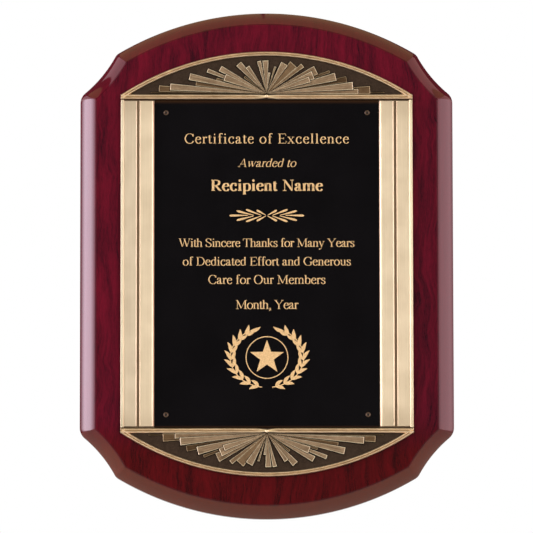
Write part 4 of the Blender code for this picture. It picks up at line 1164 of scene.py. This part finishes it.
def buildScrews(start, head, name, slot):    # one screw per kind, copied to its places
    nodes = [node for node in sorted(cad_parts) if node.startswith(start)]
    low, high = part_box(nodes[0])
    length = (high.y - low.y) / mm
    radius = head[-1][0]
    profile = list(head) + [(radius, -shank["taperFrom"] * length), (shank["tip"] * radius, -length),
                            (0.0, -length)]
    pattern = turnedPiece(name, profile, shank["steps"])
    cutAway(pattern, [crossCutter()])
    pickOnly(pattern)
    bpy.ops.object.shade_smooth_by_angle(angle=math.radians(30))
    dress(pattern, screwFinish)
    for index, node in enumerate(nodes):
        low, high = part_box(node)
        screw = ownCopy(pattern, name + str(index + 1))
        screw.data.transform(Matrix.Translation(((low.x + high.x) / 2, high.y, (low.z + high.z) / 2))
                             @ Matrix.Rotation(math.radians(shank["turn"] * index), 4, "Y"))
        settle(screw, slot, node)
    bpy.data.objects.remove(pattern)


def refinish():
    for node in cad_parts.values():
        if node.name == "engraved_plate":
            dress(node, plateFinish)
        elif node.name == "keyhole_hanger":
            dress(node, hangerFinish)


# ---- studio

studio = {
    "distance": 4.0, "azimuth": -0.5, "elevation": -6.2, "roll": -0.08, "viewWidth": 0.4,
    "aim": (-0.0001, 0.0, -0.0002), "floor": -1.35, "ambient": (0.070, 0.067, 0.064),
}
# soft boxes as directions: azimuth, half widths (full, fading out), elevation, half heights, light
panels = (
    (-90, 27, 29, 29, 14, 15, (1.7, 1.25, 1.35)),      # dim upper ends of both strips
    (88, 27, 29, 30, 18, 19, (1.35, 0.80, 0.72)),
    (-83, 7, 31, 5, 10, 24, (8.7, 7.2, 8.5)),          # left strip, for the rolled edge on that side
    (84, 14, 40, 5, 10, 24, (3.0, 2.05, 2.2)),         # right strip
    (-33, 4, 20, 12, 8, 34, (4.7, 4.75, 4.6)),         # front left
    (33, 4, 20, 12, 8, 34, (4.8, 4.85, 4.7)),          # front right
    (0, 179, 180, 90, 41, 42, (0.60, 0.50, 0.24)),     # above
    (0, 179, 180, -90, 58, 60, (1.40, 1.10, 0.48)),    # below
    (180, 20, 45, 0, 30, 50, (0.8, 0.8, 0.8)),         # behind, for the back
)


def buildRoom():
    world = bpy.data.worlds.new("studioRoom")
    bpy.context.scene.world = world
    world.use_nodes = True
    room = Paint.__new__(Paint)
    room.tree = world.node_tree
    room.tree.nodes.clear()
    here = room.node("ShaderNodeTexCoord", {})
    x, y, z = (room.axis(here, index) for index in range(3))
    degree = 180 / math.pi
    azimuth = room.node("ShaderNodeMath", {"operation": "ARCTAN2"}, x, y * -1) * degree
    elevation = room.node("ShaderNodeMath", {"operation": "ARCSINE"}, z) * degree
    light = studio["ambient"]
    for middle, wide, wideFade, level, tall, tallFade, glow in panels:
        turned = room.node("ShaderNodeMath", {"operation": "WRAP"}, azimuth - middle, 180.0, -180.0)
        aside = room.node("ShaderNodeMath", {"operation": "ABSOLUTE"}, turned)
        along = room.node("ShaderNodeMath", {"operation": "ABSOLUTE"}, elevation - level)
        share = (1 - aside.step(wide, wideFade)) * (1 - along.step(tall, tallFade))
        light = room.mix(share, light, glow)
    lit = room.node("ShaderNodeBackground", {}, light, 1.0)
    backdrop = room.node("ShaderNodeBackground", {}, (1, 1, 1, 1), 1.0)
    seen = room.node("ShaderNodeLightPath", {})
    both = room.node("ShaderNodeMixShader", {}, seen, lit, backdrop)
    room.node("ShaderNodeOutputWorld", {}, both)


def buildStudio():
    scene = bpy.context.scene
    bpy.ops.object.select_all(action="DESELECT")
    bpy.ops.mesh.primitive_plane_add(size=8, location=(0, 0, studio["floor"]))
    floor = place(bpy.context.object)
    floor.name = "floor"
    paint = Paint("paleFloor", Roughness=0.7)
    fine = paint.noise(paint.coords(), 6.0, 2.0)
    pale = paint.ramp(fine, (0.3, (0.78, 0.78, 0.77)), (0.7, (0.82, 0.82, 0.81)))
    dress(floor, paint.feed(Base_Color=pale))
    buildRoom()

    data = bpy.data.cameras.new("camera")
    camera = bpy.data.objects.new("camera", data)
    scene.collection.objects.link(camera)
    azimuth, elevation = math.radians(studio["azimuth"]), math.radians(studio["elevation"])
    aim = Vector(studio["aim"])
    outward = Vector((math.sin(azimuth) * math.cos(elevation), -math.cos(azimuth) * math.cos(elevation),
                      math.sin(elevation)))
    camera.location = aim + outward * studio["distance"]
    roll = Matrix.Rotation(math.radians(studio["roll"]), 3, "Z")
    camera.rotation_euler = ((-outward).to_track_quat("-Z", "Y").to_matrix() @ roll).to_euler()
    data.sensor_width = 36
    data.angle = 2 * math.atan(studio["viewWidth"] / 2 / studio["distance"])
    data.clip_end = 50
    scene.camera = camera
    scene.view_settings.view_transform = "Standard"


buildBoard()
print("board")
buildLunettes()
print("sunbursts")
buildColumns()
print("columns")
buildPins()
buildScrews("casting_screw", panHead, "castingScrew", "zinc_screw")
buildScrews("hanger_screw", sunkHead, "hangerScrew", "zinc_screw")
refinish()
print("plate and pins")
buildLettering()
buildOrnament()
buildEmblem()
print("engraving")
buildStudio()
print("studio")
